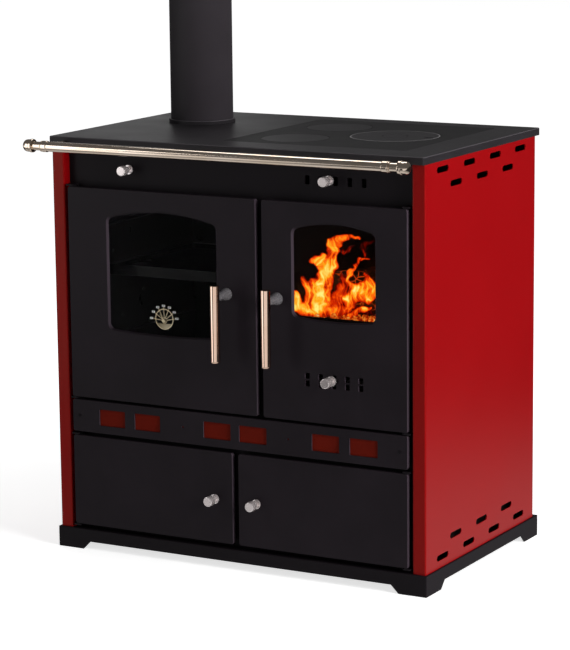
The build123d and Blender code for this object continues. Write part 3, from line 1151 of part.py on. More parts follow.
# ---- Write every node ----
def build():
    save(plinth(), "plinth")
    right = side_panel_right()
    save(right, "side_panel_right")
    save(mirrored(right), "side_panel_left")
    save(back_panel(), "back_panel")
    save(back_screws(), "back_screws")
    save(front_frame(), "front_frame")
    save(both_sides([hinge_bracket(z, s) for z, s in HINGE_LEVELS]), "hinge_brackets")
    save(both_sides([hinge_pin(z, s) for z, s in HINGE_LEVELS]), "hinge_pins")
    save(inner_casing(), "inner_casing")
    save(storage_divider(), "storage_divider")
    save(hearth_floor(), "hearth_floor")
    save(oven_box(), "oven_box")
    save(oven_runners(), "oven_runners")
    save(baking_tray(), "baking_tray")
    save(firebox_shell(), "firebox_shell")
    save(brick_sides(), "brick_sides")
    save(brick_back(), "brick_back")
    save(grate_bed(), "grate_bed")
    save(fire_grate(), "fire_grate")
    save(ash_pan(), "ash_pan")
    save(flue_box(), "flue_box")
    save(damper_plate(), "damper_plate")
    save(damper_rod(), "damper_rod")
    save(knob(DAMPER_X, DAMPER_Z, Y_FASCIA, KNOB_L + 2.0, ROD_R), "damper_knob")
    save(cooktop_plate(), "cooktop_plate")
    save(hob_plate(), "hob_plate")
    save(hob_lid(), "hob_lid")
    save(flue_collar(), "flue_collar")
    save(flue_pipe(), "flue_pipe")
    save(fascia_slide_guides(), "fascia_slide_guides")
    save(fascia_air_slide(), "fascia_air_slide")
    save(knob(FASCIA_KNOB_X, FASCIA_KNOB_Z, Y_FASCIA, KNOB_L, STEM_R), "fascia_air_knob")
    save(oven_door_panel(), "oven_door_panel")
    save(door_glass(OVEN_WINDOW) - bar_y(THERMO_X, THERMO_Z, THERMO_STEM_R, Y_GLASS - 1, Y_DOOR_BACK + 1),
         "oven_door_glass")
    save(oven_door_liner(), "oven_door_liner")
    save(gasket(OVEN_MOUTH), "oven_door_gasket")
    save(thermometer_dial(), "thermometer_dial")
    save(thermometer_needle(), "thermometer_needle")
    save(handle_bar(OVEN_SPINDLE_X), "oven_handle_bar")
    save(handle_neck(OVEN_SPINDLE_X), "oven_handle_neck")
    save(latch_finger(OVEN_SPINDLE_X, OVEN_FINGER_TIP), "oven_latch_finger")
    save(fire_door_panel(), "fire_door_panel")
    save(door_glass(FIRE_WINDOW), "fire_door_glass")
    save(fire_door_liner(), "fire_door_liner")
    save(gasket(FIRE_MOUTH), "fire_door_gasket")
    save(door_air_slide(), "door_air_slide")
    save(knob(DOOR_KNOB_X, DOOR_KNOB_Z, Y_DOOR, KNOB_L, STEM_R), "door_air_knob")
    save(handle_bar(FIRE_SPINDLE_X), "fire_handle_bar")
    save(handle_neck(FIRE_SPINDLE_X), "fire_handle_neck")
    save(latch_finger(FIRE_SPINDLE_X, FIRE_FINGER_TIP), "fire_latch_finger")
    lower = lower_door_right()
    save(lower, "lower_door_right")
    save(mirrored(lower), "lower_door_left")
    lower_knob = lower_knob_right()
    save(lower_knob, "lower_knob_right")
    save(mirrored(lower_knob), "lower_knob_left")
    save(trim_strip(), "trim_strip")
    save(trim_backing(), "trim_backing")
    save(trim_screws(), "trim_screws")
    save(towel_rail(), "towel_rail")
    save(both_sides([rail_fitting_right()]), "rail_fittings")


build()
print("SHIFT_Y", SHIFT_Y)
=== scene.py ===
# %% [markdown]
# # A wood cookstove, dressed in Blender
# The stove comes in as a fixed frame of metal pieces that are already the right size. This notebook gives
# each piece the finish of the real one: satin stove paint, cast iron, red panels, warm nickel, firebrick
# and glass. It then adds what solid modelling leaves out: rope seals, dial numbers, logs, embers and
# flames.

import json
import math
import random

import bmesh
import bpy
from mathutils import Matrix, Vector, noise

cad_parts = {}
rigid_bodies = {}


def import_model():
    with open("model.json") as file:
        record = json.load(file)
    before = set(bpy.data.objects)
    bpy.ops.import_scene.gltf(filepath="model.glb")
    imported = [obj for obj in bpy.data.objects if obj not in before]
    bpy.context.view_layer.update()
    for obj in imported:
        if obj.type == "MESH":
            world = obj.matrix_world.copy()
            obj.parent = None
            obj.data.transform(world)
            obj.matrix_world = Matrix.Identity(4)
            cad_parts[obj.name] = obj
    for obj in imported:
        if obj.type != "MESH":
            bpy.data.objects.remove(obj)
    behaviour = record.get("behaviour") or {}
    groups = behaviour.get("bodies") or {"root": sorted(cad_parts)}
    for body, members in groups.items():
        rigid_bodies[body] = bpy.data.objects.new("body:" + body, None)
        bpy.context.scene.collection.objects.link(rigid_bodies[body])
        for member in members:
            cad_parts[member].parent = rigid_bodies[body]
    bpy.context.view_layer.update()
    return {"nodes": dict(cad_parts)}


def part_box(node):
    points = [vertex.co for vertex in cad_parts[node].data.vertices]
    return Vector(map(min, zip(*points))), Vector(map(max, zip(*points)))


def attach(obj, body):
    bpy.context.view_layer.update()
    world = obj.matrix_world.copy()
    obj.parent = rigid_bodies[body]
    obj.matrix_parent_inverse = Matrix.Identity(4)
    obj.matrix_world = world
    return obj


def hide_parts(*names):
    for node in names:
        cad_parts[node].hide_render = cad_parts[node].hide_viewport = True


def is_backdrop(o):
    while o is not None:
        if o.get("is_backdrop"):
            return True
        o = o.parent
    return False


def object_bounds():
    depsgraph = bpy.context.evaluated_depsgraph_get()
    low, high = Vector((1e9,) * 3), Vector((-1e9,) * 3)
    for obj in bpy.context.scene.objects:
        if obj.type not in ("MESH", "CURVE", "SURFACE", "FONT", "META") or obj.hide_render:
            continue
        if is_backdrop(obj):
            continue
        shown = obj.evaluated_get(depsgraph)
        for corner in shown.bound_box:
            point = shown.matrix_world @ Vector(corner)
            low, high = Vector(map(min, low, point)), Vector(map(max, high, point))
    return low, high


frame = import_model()
nodes = frame["nodes"]
print("pieces in the frame:", len(nodes))

# %% [markdown]
# ## Camera
# The picture was taken from the front right, a little above the top, with a long lens, so upright edges
# stay upright. A camera could be aimed by eye, but corners of the stove that are known in metres and in
# pixels fix it better. The turn, tilt and roll below come from such a fit, and the lens is in millimetres
# on a 36 mm sensor whose long side is the picture's height.

# %% Place the camera
PICTURE_HEIGHT = 650      # pixels
SENSOR = 36.0             # mm
LENS = 2727.0             # in pixels, from the fit
CAMERA_AT = (2.6508, -4.7466, 1.4902)
CAMERA_TURN = (29.225, 10.724, -0.607)


def aim(yaw, pitch, roll):
    """Turn of a camera that looks along +Y, then turns left by yaw, down by pitch and rolls, in degrees."""
    yaw, pitch, roll = (math.radians(v) for v in (yaw, pitch, roll))
    ahead = Vector((-math.sin(yaw) * math.cos(pitch), math.cos(yaw) * math.cos(pitch), -math.sin(pitch)))
    right = ahead.cross(Vector((0, 0, 1))).normalized()
    up = right.cross(ahead)
    right, up = (right * math.cos(roll) + up * math.sin(roll), up * math.cos(roll) - right * math.sin(roll))
    return Matrix((right, up, -ahead)).transposed().to_4x4()


camera_data = bpy.data.cameras.new("camera")
camera_data.sensor_width = SENSOR
camera_data.lens = LENS / PICTURE_HEIGHT * SENSOR
camera = bpy.data.objects.new("camera", camera_data)
camera.matrix_world = Matrix.Translation(CAMERA_AT) @ aim(*CAMERA_TURN)
bpy.context.scene.collection.objects.link(camera)
bpy.context.scene.camera = camera
print("lens", round(camera_data.lens, 1), "mm")

# %% [markdown]
# ## Finishes are small graphs
# A finish in Blender is a graph of nodes, and long graphs are hard to read as node code. Two small helpers
# keep them readable. `Tone` wraps one socket, so that sums and products can be written as plain Python.
# `Finish` makes one material and adds any other node with one method: its type, its settings, then its
# sockets.

# %% Helpers for finishes
class Tone:
    """A number on its way through a finish's nodes. Sums and products with it add Math nodes."""

    def __init__(self, finish, socket):
        self.finish = finish
        self.socket = socket

    def maths(self, operation, *values):
        inputs = dict(enumerate(values))
        return self.finish.node("ShaderNodeMath", {"operation": operation}, inputs)

    def __add__(self, other):
        return self.maths("ADD", self, other)

    def __sub__(self, other):
        return self.maths("SUBTRACT", self, other)

    def __rsub__(self, other):
        return self.maths("SUBTRACT", other, self)

    def __mul__(self, other):
        return self.maths("MULTIPLY", self, other)

    def __truediv__(self, other):
        return self.maths("DIVIDE", self, other)

    def __pow__(self, other):
        return self.maths("POWER", self, other)

    __radd__ = __add__
    __rmul__ = __mul__

    def most(self, other):
        return self.maths("MAXIMUM", self, other)

    def above(self, edge, soft):
        """0 below edge - soft, 1 above edge + soft, smooth between."""
        return self.finish.node("ShaderNodeMapRange", {"interpolation_type": "SMOOTHSTEP"},
                                {"Value": self, "From Min": edge - soft, "From Max": edge + soft})


class Finish:
    """One material, built from nodes around a Principled surface."""

    def __init__(self, name, **surface):
        self.material = bpy.data.materials.new(name)
        self.material.use_nodes = True
        self.tree = self.material.node_tree
        self.tree.nodes.clear()
        self.output = self.tree.nodes.new("ShaderNodeOutputMaterial")
        self.surface = self.tree.nodes.new("ShaderNodeBsdfPrincipled")
        self.tree.links.new(self.surface.outputs[0], self.output.inputs["Surface"])
        self.place = self.node("ShaderNodeTexCoord", out="Object")
        self.set(**surface)

    def feed(self, socket, value):
        if isinstance(value, Tone):
            self.tree.links.new(value.socket, socket)
        elif socket.type == "RGBA" and len(value) == 3:
            socket.default_value = (*value, 1.0)
        else:
            socket.default_value = value

    def node(self, kind, settings=None, inputs=None, out=0):
        """Adds any node: its type, then its settings, then the values or links of its sockets."""
        made = self.tree.nodes.new(kind)
        for key, value in (settings or {}).items():
            if key == "stops":
                self.stops(made.color_ramp, value)
            else:
                setattr(made, key, value)
        for key, value in (inputs or {}).items():
            self.feed(made.inputs[key], value)
        return Tone(self, made.outputs[out])

    def stops(self, ramp, stops):
        """Sets a colour ramp's stops: pairs of a position and a colour."""
        while len(ramp.elements) < len(stops):
            ramp.elements.new(0.5)
        for element, (position, colour) in zip(ramp.elements, stops):
            element.position = position
            element.color = (*colour, 1.0)

    def set(self, **sockets):
        """Feeds the surface: base_color=..., roughness=... and so on."""
        for key, value in sockets.items():
            self.feed(self.surface.inputs[key.replace("_", " ").title().replace("Ior", "IOR")], value)

    def noise(self, scale, detail=3.0, rough=0.55, stretch=None):
        """Noise of this many lumps to the metre, drawn out along the axes where stretch is small."""
        where = self.place
        if stretch:
            where = self.node("ShaderNodeMapping", None, {"Vector": where, "Scale": stretch})
        return self.node("ShaderNodeTexNoise", None,
                         {"Vector": where, "Scale": scale, "Detail": detail, "Roughness": rough})

    def blend(self, share, first, second):
        """Colour between two colours."""
        return self.node("ShaderNodeMix", {"data_type": "RGBA"}, {0: share, 6: first, 7: second}, out=2)

    def axes(self, vector=None):
        """The place on the piece, or another vector, as three numbers."""
        split = self.tree.nodes.new("ShaderNodeSeparateXYZ")
        self.tree.links.new((vector or self.place).socket, split.inputs[0])
        return [Tone(self, split.outputs[i]) for i in range(3)]

    def facing(self, axis):
        """How squarely a face looks along an axis (0, 1 or 2), either way: from 0 to 1."""
        return (self.axes(self.node("ShaderNodeTexCoord", out="Normal"))[axis] ** 2.0) ** 0.5

    def bump(self, height, depth):
        """Raises the surface by the height, times depth in metres."""
        self.set(normal=self.node("ShaderNodeBump", None, {"Height": height, "Distance": depth}))


def wear(*names):
    """Gives the finish that is being made to these pieces of the frame."""
    def give(finish):
        for name in names:
            for slot in nodes[name].material_slots:
                slot.material = finish.material
        print(finish.material.name, "on", len(names), "pieces")
    return give


print("helpers for finishes are ready")

# %% [markdown]
# ## Stove paint on the doors
# Doors, strip and fascia are steel with black heat-proof paint, sprayed and baked. Close up it has a fine
# grain, a slightly uneven sheen and a trace of dust. A flat black would look like a hole, so fine noise
# drives the bump, broad noise moves the roughness, and the colour has a faint warm violet tint. On the
# doors the rounded edges that look sideways are lighter: this is a painted highlight, and a mask finds
# them by the way they face.

# %% Black stove paint
def stove_paint(name, colour, lift, rough, grain=0.00004, shine=0.12, edge_highlight=0.0):
    """Baked paint: colour, lift of its dusty patches, roughness, grain depth, shine, lift of the painted edge
    highlight.
    """
    paint = Finish(name, specular_ior_level=shine)
    cloud = paint.noise(6.0, 4.0)
    fleck = paint.noise(900.0, 2.0)
    dusty = tuple(c * lift for c in colour)
    patch = paint.blend(cloud.above(0.55, 0.2), colour, dusty)
    tint = paint.blend(fleck.above(0.66, 0.06) * 0.35, patch, tuple(c * 1.9 for c in colour))
    if edge_highlight:
        # painted highlight: the rounded edges that look sideways are lighter
        edge = (1.0 - paint.facing(1).above(0.80, 0.17)) * paint.facing(0).above(0.45, 0.25)
        tint = paint.blend(edge * (0.75 + (cloud - 0.5) * 0.5), tint, tuple(c * edge_highlight for c in colour))
    paint.set(base_color=tint, roughness=rough + (cloud - 0.5) * 0.16 + (fleck - 0.5) * 0.08)
    paint.bump(paint.noise(420.0, 3.0) + paint.noise(1600.0, 1.0) * 0.4, grain)
    return paint


# the doors get a painted highlight on their sideways edges
door_paint = stove_paint("door_paint", (0.0165, 0.0122, 0.0158), 1.35, 0.46, edge_highlight=5.0)
wear("oven_door_panel", "fire_door_panel", "trim_strip", "lower_door_left", "lower_door_right")(door_paint)
frame_paint = stove_paint("frame_paint", (0.0100, 0.0076, 0.0096), 1.3, 0.55)
wear("front_frame", "back_panel", "plinth", "hinge_brackets", "hinge_pins", "trim_screws")(frame_paint)
pipe_paint = stove_paint("pipe_paint", (0.0340, 0.0290, 0.0335), 1.25, 0.60, 0.00006, 0.25)
wear("flue_pipe")(pipe_paint)

# %% [markdown]
# ## Red side panels
# The panels are folded sheet with a satin red coat. Such paint is smooth and a little glossy, so it mirrors
# the floor softly towards the bottom. A clear coat on top would mirror too sharply, so the red itself is
# slightly rough, with a weak, warm reflection, and a very shallow orange peel keeps it from looking like
# plastic. The inlays of the trim strip are a darker, duller red, because they lie in shade behind it.

# %% Red enamel
red_enamel = Finish("side_red", specular_ior_level=0.22, specular_tint=(1.0, 0.74, 0.52))
cloud = red_enamel.noise(5.0, 3.0)
red = red_enamel.blend(cloud, (0.290, 0.0012, 0.0028), (0.325, 0.0018, 0.0040))
peel = red_enamel.noise(260.0, 2.0)
red_enamel.set(base_color=red, roughness=0.36 + (cloud - 0.5) * 0.10)
red_enamel.bump(peel, 0.00005)
wear("side_panel_left", "side_panel_right")(red_enamel)
backing_red = Finish("backing_red", specular_ior_level=0.05)
dust = backing_red.noise(40.0, 4.0)
backing_red.set(base_color=backing_red.blend(dust, (0.130, 0.0085, 0.0035), (0.200, 0.0135, 0.0060)),
                roughness=0.6 + (dust - 0.5) * 0.2)
backing_red.bump(backing_red.noise(300.0, 2.0), 0.00005)
wear("trim_backing")(backing_red)

# %% [markdown]
# ## Cast iron on the cooking surface
# The top is cast and ground flat, then blacked. It is greyer than the paint, and its grain is coarser: a
# sandy skin with shallow pits and faint marks in one direction where it was ground. Its bevels are lighter,
# a painted highlight. The lid and the hob plate are darker castings of their own. The lid's rim is bright
# with a painted highlight, painted shade darkens the hob plate in the gap round the lid, and the two
# engraved cooking rings show as slightly lighter discs. These could be pieces of mesh, but they are flat,
# so masks of the distance from each centre draw them.

# %% Blackened cast iron
def cast_iron(name, colour, rough):
    """Blacked iron: sandy skin, ground marks, painted bevel highlight. Keeps its shade for masks on top."""
    iron = Finish(name, specular_ior_level=0.2)
    cloud = iron.noise(9.0, 5.0)
    sand = iron.noise(700.0, 3.0, 0.7)
    ground = iron.noise(60.0, 2.0, stretch=(1.0, 14.0, 1.0))
    shade = iron.blend(cloud.above(0.5, 0.25), tuple(c * 0.82 for c in colour),
                       tuple(c * 1.22 for c in colour))
    shade = iron.blend(sand.above(0.68, 0.05) * 0.3, shade, tuple(c * 2.0 for c in colour))
    # painted highlight: the bevels are lighter than the flat faces
    bevel_highlight = (1.0 - iron.facing(2).above(0.80, 0.17)) * iron.facing(2).above(0.25, 0.1)
    shade = iron.blend(bevel_highlight * 0.8, shade, tuple(c * 4.5 for c in colour))
    iron.roughness_at = rough + (cloud - 0.5) * 0.18 + (ground - 0.5) * 0.10
    iron.set(base_color=shade, roughness=iron.roughness_at)
    iron.bump(sand + ground * 0.3, 0.00010)
    iron.shade = shade
    return iron


cast_top = cast_iron("cast_top", (0.0240, 0.0215, 0.0240), 0.42)
wear("cooktop_plate", "flue_collar")(cast_top)

lid_low, lid_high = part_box("hob_lid")
LID_AT = ((lid_low[0] + lid_high[0]) / 2, (lid_low[1] + lid_high[1]) / 2)
LID_R = (lid_high[0] - lid_low[0]) / 2
RIM_WIDTH = 0.0030
GAP_SHADE_WIDTH = 0.0050


def distance(finish, centre):
    """How far a place on the piece is from an upright axis."""
    x, y, z = finish.axes()
    return ((x - centre[0]) ** 2.0 + (y - centre[1]) ** 2.0) ** 0.5


lid_iron = cast_iron("lid_iron", (0.0200, 0.0178, 0.0200), 0.42)
# painted highlight on the lid's rim
rim_highlight = distance(lid_iron, LID_AT).above(LID_R - RIM_WIDTH, 0.0006)
lid_iron.set(base_color=lid_iron.blend(rim_highlight, lid_iron.shade, (0.230, 0.220, 0.225)))
wear("hob_lid")(lid_iron)

RINGS = ((0.052, -0.052), (0.045, 0.148))
RING_R = 0.069
RING_LINE = 0.002
hob_iron = cast_iron("hob_iron", (0.0070, 0.0062, 0.0070), 0.54)
first, second = [1.0 - distance(hob_iron, ring).above(RING_R - RING_LINE, 0.0008) for ring in RINGS]
disc = first.most(second)
# painted shade in the gap round the lid, on the hob plate
gap_shade = 1.0 - distance(hob_iron, LID_AT).above(LID_R + GAP_SHADE_WIDTH, 0.0008)
hob_tint = hob_iron.blend(disc * 0.40, hob_iron.shade, (0.036, 0.032, 0.036))
hob_tint = hob_iron.blend(gap_shade, hob_tint, (0.002, 0.002, 0.002))
hob_iron.set(base_color=hob_tint, roughness=hob_iron.roughness_at - disc * 0.10)
wear("hob_plate")(hob_iron)
grate_iron = cast_iron("grate_iron", (0.020, 0.016, 0.014), 0.7)
wear("grate_bed", "fire_grate")(grate_iron)

# %% [markdown]
# ## Nickel, brass, pewter, zinc and bare steel
# The rail, bar handles and knobs are polished nickel: bright and warm, with long soft reflections. The dial
# and its needle are dull brass, and the necks that carry the bars are grey pewter. Screws at the back and
# in the liners and the damper's rod are zinc plated, and what sits behind the doors is dark rolled steel
# that heat has tinted. They differ in colour, in roughness and in what scratches them, so one function
# makes them all.

# %% Bright and dark metals
def metal(name, colour, rough, streak, stretch, tarnish):
    """A metal with fine streaks along the axis that stretch leaves long, and a cloudy tarnish."""
    plate = Finish(name, metallic=1.0)
    lines = plate.noise(240.0, 2.0, stretch=stretch)
    cloud = plate.noise(14.0, 3.0)
    tone = plate.blend(cloud.above(0.52, 0.22), colour, tuple(c * f for c, f in zip(colour, tarnish)))
    plate.set(base_color=tone, roughness=rough + (lines - 0.5) * streak + (cloud - 0.5) * 0.06)
    plate.bump(lines, 0.00002)
    return plate


warm_nickel = metal("warm_nickel", (0.98, 0.70, 0.56), 0.11, 0.06, (1.0, 1.0, 0.08), (0.96, 0.92, 0.88))
wear("oven_handle_bar", "fire_handle_bar")(warm_nickel)
knob_nickel = metal("knob_nickel", (0.94, 0.86, 0.86), 0.16, 0.10, (1.0, 0.2, 1.0), (0.90, 0.88, 0.86))
knob_nickel.set(metallic=0.72)
wear("fascia_air_knob", "damper_knob", "door_air_knob", "lower_knob_left", "lower_knob_right")(knob_nickel)
dial_brass = metal("dial_brass", (0.46, 0.40, 0.29), 0.18, 0.12, (1.0, 1.0, 0.4), (0.75, 0.70, 0.60))
wear("thermometer_dial", "thermometer_needle")(dial_brass)
pewter = metal("pewter", (0.36, 0.34, 0.35), 0.27, 0.10, (1.0, 0.2, 1.0), (0.85, 0.85, 0.88))
pewter.set(metallic=0.6)
wear("oven_handle_neck", "fire_handle_neck")(pewter)
rail_nickel = metal("rail_nickel", (0.90, 0.76, 0.64), 0.13, 0.06, (0.05, 1.0, 1.0), (0.90, 0.87, 0.82))
wear("towel_rail", "rail_fittings")(rail_nickel)
zinc = metal("zinc", (0.56, 0.57, 0.58), 0.38, 0.16, (1.0, 1.0, 1.0), (0.8, 0.82, 0.86))
wear("back_screws", "damper_rod")(zinc)
rolled_steel = metal("rolled_steel", (0.085, 0.080, 0.080), 0.48, 0.2, (1.0, 0.2, 1.0), (0.7, 0.62, 0.6))
wear("inner_casing", "storage_divider", "hearth_floor", "oven_runners", "firebox_shell", "flue_box",
     "damper_plate", "fascia_slide_guides", "fascia_air_slide", "door_air_slide", "ash_pan",
     "oven_latch_finger", "fire_latch_finger")(rolled_steel)

# %% [markdown]
# ## Enamel, liners and firebrick
# The oven and its tray are fired with dark speckled enamel, glassy and wipe-clean. Both are the same
# enamel, but fat and heat have made the tray blacker and duller. The door liners are coated sheet.
# Firebrick is pale clay that soot has blackened from the top down, so its colour follows the height on the
# brick as well as noise.

# %% Oven enamel and firebrick
def fired_enamel(name, colour, speckle, shine):
    """Enamel with small light specks. Shine sets both its own gloss and that of its glassy skin."""
    enamel = Finish(name, specular_ior_level=shine, coat_weight=0.6 * shine, coat_roughness=0.1)
    speck = enamel.noise(1400.0, 1.0)
    enamel.set(base_color=enamel.blend(speck.above(0.7, 0.03), colour, speckle),
               roughness=0.30 + (enamel.noise(20.0) - 0.5) * 0.15)
    enamel.bump(enamel.noise(200.0), 0.00003)
    return enamel


wear("oven_box")(fired_enamel("oven_enamel", (0.0036, 0.0036, 0.0042), (0.10, 0.10, 0.11), 0.5))
wear("baking_tray")(fired_enamel("tray_enamel", (0.0014, 0.0012, 0.0014), (0.014, 0.013, 0.015), 0.06))
liner_paint = stove_paint("liner_paint", (0.013, 0.012, 0.012), 1.6, 0.58, 0.00006)
wear("oven_door_liner", "fire_door_liner")(liner_paint)

brick = Finish("fire_clay", roughness=0.92)
x, y, z = brick.axes()
soot = (z - 0.50) / 0.20 * 0.4 + brick.noise(16.0, 5.0) * 0.6 + 0.12
clay = brick.blend(brick.noise(60.0, 4.0), (0.10, 0.072, 0.046), (0.17, 0.13, 0.09))
brick.set(base_color=brick.blend(soot.above(0.42, 0.16), clay, (0.0045, 0.0040, 0.0042)))
brick.bump(brick.noise(160.0, 5.0, 0.7), 0.0006)
wear("brick_sides", "brick_back")(brick)

# %% [markdown]
# ## Door glass
# Ceramic door glass is slightly smoked. Real refraction would be slow, and other viewers show it badly. So
# each pane is a polished black surface that alpha makes almost clear, and a faint smear in the alpha shows
# that there is a pane at all.

# %% Glass
SMOKE = 0.035             # share of a pane that isn't clear


def door_glass(name):
    pane = Finish(name, base_color=(0.0, 0.0, 0.0), roughness=0.04)
    smear = pane.noise(30.0, 3.0)
    pane.set(alpha=SMOKE + (smear - 0.5) * 0.03)
    return pane


wear("fire_door_glass")(door_glass("fire_glass"))
wear("oven_door_glass")(door_glass("oven_glass"))

# %% [markdown]
# ## Trees for what repeats
# Stitches, tabs, screws and embers repeat along a path or over a surface, which is what Geometry Nodes are
# for. They could be copied in a loop, but a tree keeps its sizes as named inputs that can be changed later.
# `Tree` makes one, `grow` runs it on a piece and keeps the plain mesh, and `new_piece` makes the points it
# runs on.

# %% Helpers for trees
def link_inputs(tree, name, kind, default):
    """Adds one named input to a tree."""
    socket = tree.interface.new_socket(name=name, in_out="INPUT", socket_type=kind)
    if default is not None:
        socket.default_value = default
    return socket


class Tree:
    """A Geometry Nodes tree with named inputs."""

    def __init__(self, name, **inputs):
        self.tree = bpy.data.node_groups.new(name, "GeometryNodeTree")
        self.ids = {}
        link_inputs(self.tree, "Geometry", "NodeSocketGeometry", None)
        for key, (kind, default) in inputs.items():
            self.ids[key] = link_inputs(self.tree, key, kind, default).identifier
        self.tree.interface.new_socket(name="Geometry", in_out="OUTPUT", socket_type="NodeSocketGeometry")
        self.start = self.tree.nodes.new("NodeGroupInput")
        self.end = self.tree.nodes.new("NodeGroupOutput")

    def given(self, name):
        return self.start.outputs[name]

    def node(self, kind, settings=None, inputs=None, out=0):
        made = self.tree.nodes.new(kind)
        for key, value in (settings or {}).items():
            setattr(made, key, value)
        for key, value in (inputs or {}).items():
            if isinstance(value, bpy.types.NodeSocket):
                self.tree.links.new(value, made.inputs[key])
            else:
                made.inputs[key].default_value = value
        return made.outputs[out]

    def finish(self, geometry, material):
        """Makes the copies real, gives them their finish and ends the tree."""
        real = self.node("GeometryNodeRealizeInstances", None, {"Geometry": geometry})
        named = self.node("GeometryNodeSetMaterial", None, {"Geometry": real, "Material": material})
        self.tree.links.new(named, self.end.inputs[0])


def grow(carrier, tree, **values):
    """Runs a tree on an object and keeps the result as its plain mesh."""
    modifier = carrier.modifiers.new("grow", "NODES")
    modifier.node_group = tree.tree
    for key, value in values.items():
        modifier[tree.ids[key]] = value
    view = bpy.context.evaluated_depsgraph_get()
    made = bpy.data.meshes.new_from_object(carrier.evaluated_get(view))
    old = carrier.data
    carrier.modifiers.clear()
    carrier.data = made
    made.name = carrier.name
    bpy.data.meshes.remove(old)
    print(carrier.name, len(made.polygons), "faces")
    return carrier


def new_piece(name, vertices=(), edges=(), faces=(), finish=None, smooth=False):
    """A piece made of points, edges and faces, with its place in its mesh."""
    mesh = bpy.data.meshes.new(name)
    mesh.from_pydata([tuple(v) for v in vertices], list(edges), list(faces))
    piece = bpy.data.objects.new(name, mesh)
    bpy.context.scene.collection.objects.link(piece)
    if finish:
        mesh.materials.append(finish.material)
    for face in mesh.polygons:
        face.use_smooth = smooth
    return piece


print("helpers for trees are ready")

# %% [markdown]
# ## Rope seals
# Each upper door closes on a woven glass rope that lies on its liner. A tube with a bumpy material would be
# quick, but with the door open the weave shows. So the tree takes a closed path, lays short slanted stitches
# along it in rows round the rope, and adds a core tube. The path follows the plain ring that each seal
# replaces. The stitches stand up to 1.4 mm past that ring, so they sink into the liner, and with the door
# shut 0.5 to 1.1 mm into the front frame.

# %% Weave both seals
ROPE_ROWS = 5
STITCHES = 300            # along each row
STITCH_LEAN = 0.7         # radians from the rope's own direction
STITCH_SIZE = (0.0011, 0.0016, 0.0030)
STITCH_OUT = (0.0043, 0.0, 0.0)
SEAL_WIDTH = 0.010
SEAL_CORNER = 0.007
CORNER_POINTS = 6
glass_rope = Finish("glass_rope", roughness=0.95)
yarn = glass_rope.noise(900.0, 3.0)
glass_rope.set(base_color=glass_rope.blend(yarn, (0.035, 0.034, 0.034), (0.13, 0.125, 0.12)))
glass_rope.bump(yarn, 0.0002)


def rope_tree():
    rope = Tree("rope_seal", Radius=("NodeSocketFloat", 0.0045), Stitches=("NodeSocketInt", 200))
    path = rope.node("GeometryNodeMeshToCurve", None, {"Mesh": rope.given("Geometry")})
    evenly = rope.node("GeometryNodeResampleCurve", None, {"Curve": path, "Count": rope.given("Stitches")})
    profile = rope.node("GeometryNodeCurvePrimitiveCircle", None,
                        {"Resolution": 8, "Radius": rope.given("Radius")})
    core = rope.node("GeometryNodeCurveToMesh", None, {"Curve": path, "Profile Curve": profile})
    grain = rope.node("GeometryNodeMeshUVSphere", None, {"Segments": 6, "Rings": 4, "Radius": 1.0})
    along = rope.node("GeometryNodeInputTangent")
    facing = rope.node("FunctionNodeAlignRotationToVector", {"axis": "Z"}, {"Vector": along})
    parts = [core]
    for row in range(ROPE_ROWS):
        turn = rope.node("FunctionNodeRotateRotation", {"rotation_space": "LOCAL"},
                         {"Rotation": facing, "Rotate By": (0.0, 0.0, row * 2 * math.pi / ROPE_ROWS)})
        lean = rope.node("FunctionNodeRotateRotation", {"rotation_space": "LOCAL"},
                         {"Rotation": turn, "Rotate By": (STITCH_LEAN, 0.0, 0.0)})
        dots = rope.node("GeometryNodeInstanceOnPoints", None,
                         {"Points": evenly, "Instance": grain, "Rotation": lean, "Scale": STITCH_SIZE})
        reach = rope.node("FunctionNodeRotateVector", None, {"Vector": STITCH_OUT, "Rotation": turn})
        parts.append(rope.node("GeometryNodeTranslateInstances", None,
                               {"Instances": dots, "Translation": reach, "Local Space": False}))
    together = rope.tree.nodes.new("GeometryNodeJoinGeometry")
    for part in reversed(parts):
        rope.tree.links.new(part, together.inputs[0])
    rope.finish(together.outputs[0], glass_rope.material)
    return rope


def seal_path(node):
    """Centre line of a seal with rounded corners, from the box of the frame's plain ring."""
    low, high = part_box(node)
    half, radius = SEAL_WIDTH / 2, SEAL_CORNER
    y = (low[1] + high[1]) / 2
    x0, x1, z0, z1 = low[0] + half, high[0] - half, low[2] + half, high[2] - half
    points = []
    corners = ((x1, z1, 0), (x0, z1, 1), (x0, z0, 2), (x1, z0, 3))
    for cx, cz, quarter in corners:
        inx = cx - math.copysign(radius, cx - (x0 + x1) / 2)
        inz = cz - math.copysign(radius, cz - (z0 + z1) / 2)
        for step in range(CORNER_POINTS):
            angle = math.radians(90 * quarter + 90 / (CORNER_POINTS - 1) * step)
            points.append((inx + radius * math.cos(angle), y, inz + radius * math.sin(angle)))
    return points


seal_maker = rope_tree()
for door in ("oven_door", "fire_door"):
    path = seal_path(door + "_gasket")
    seal = new_piece(door + "_seal", path, [(i, (i + 1) % len(path)) for i in range(len(path))])
    grow(seal, seal_maker, Stitches=STITCHES)
    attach(seal, door)
    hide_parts(door + "_gasket")

# %% [markdown]
# ## Numbers on the oven's dial
# The thermometer's wires end in small white tabs, each with a number of degrees. The tabs repeat round an
# arc, so a tree sets one small plate on each point of it. The numbers are text turned into thin mesh: they
# stay readable at any distance, and no picture is needed.

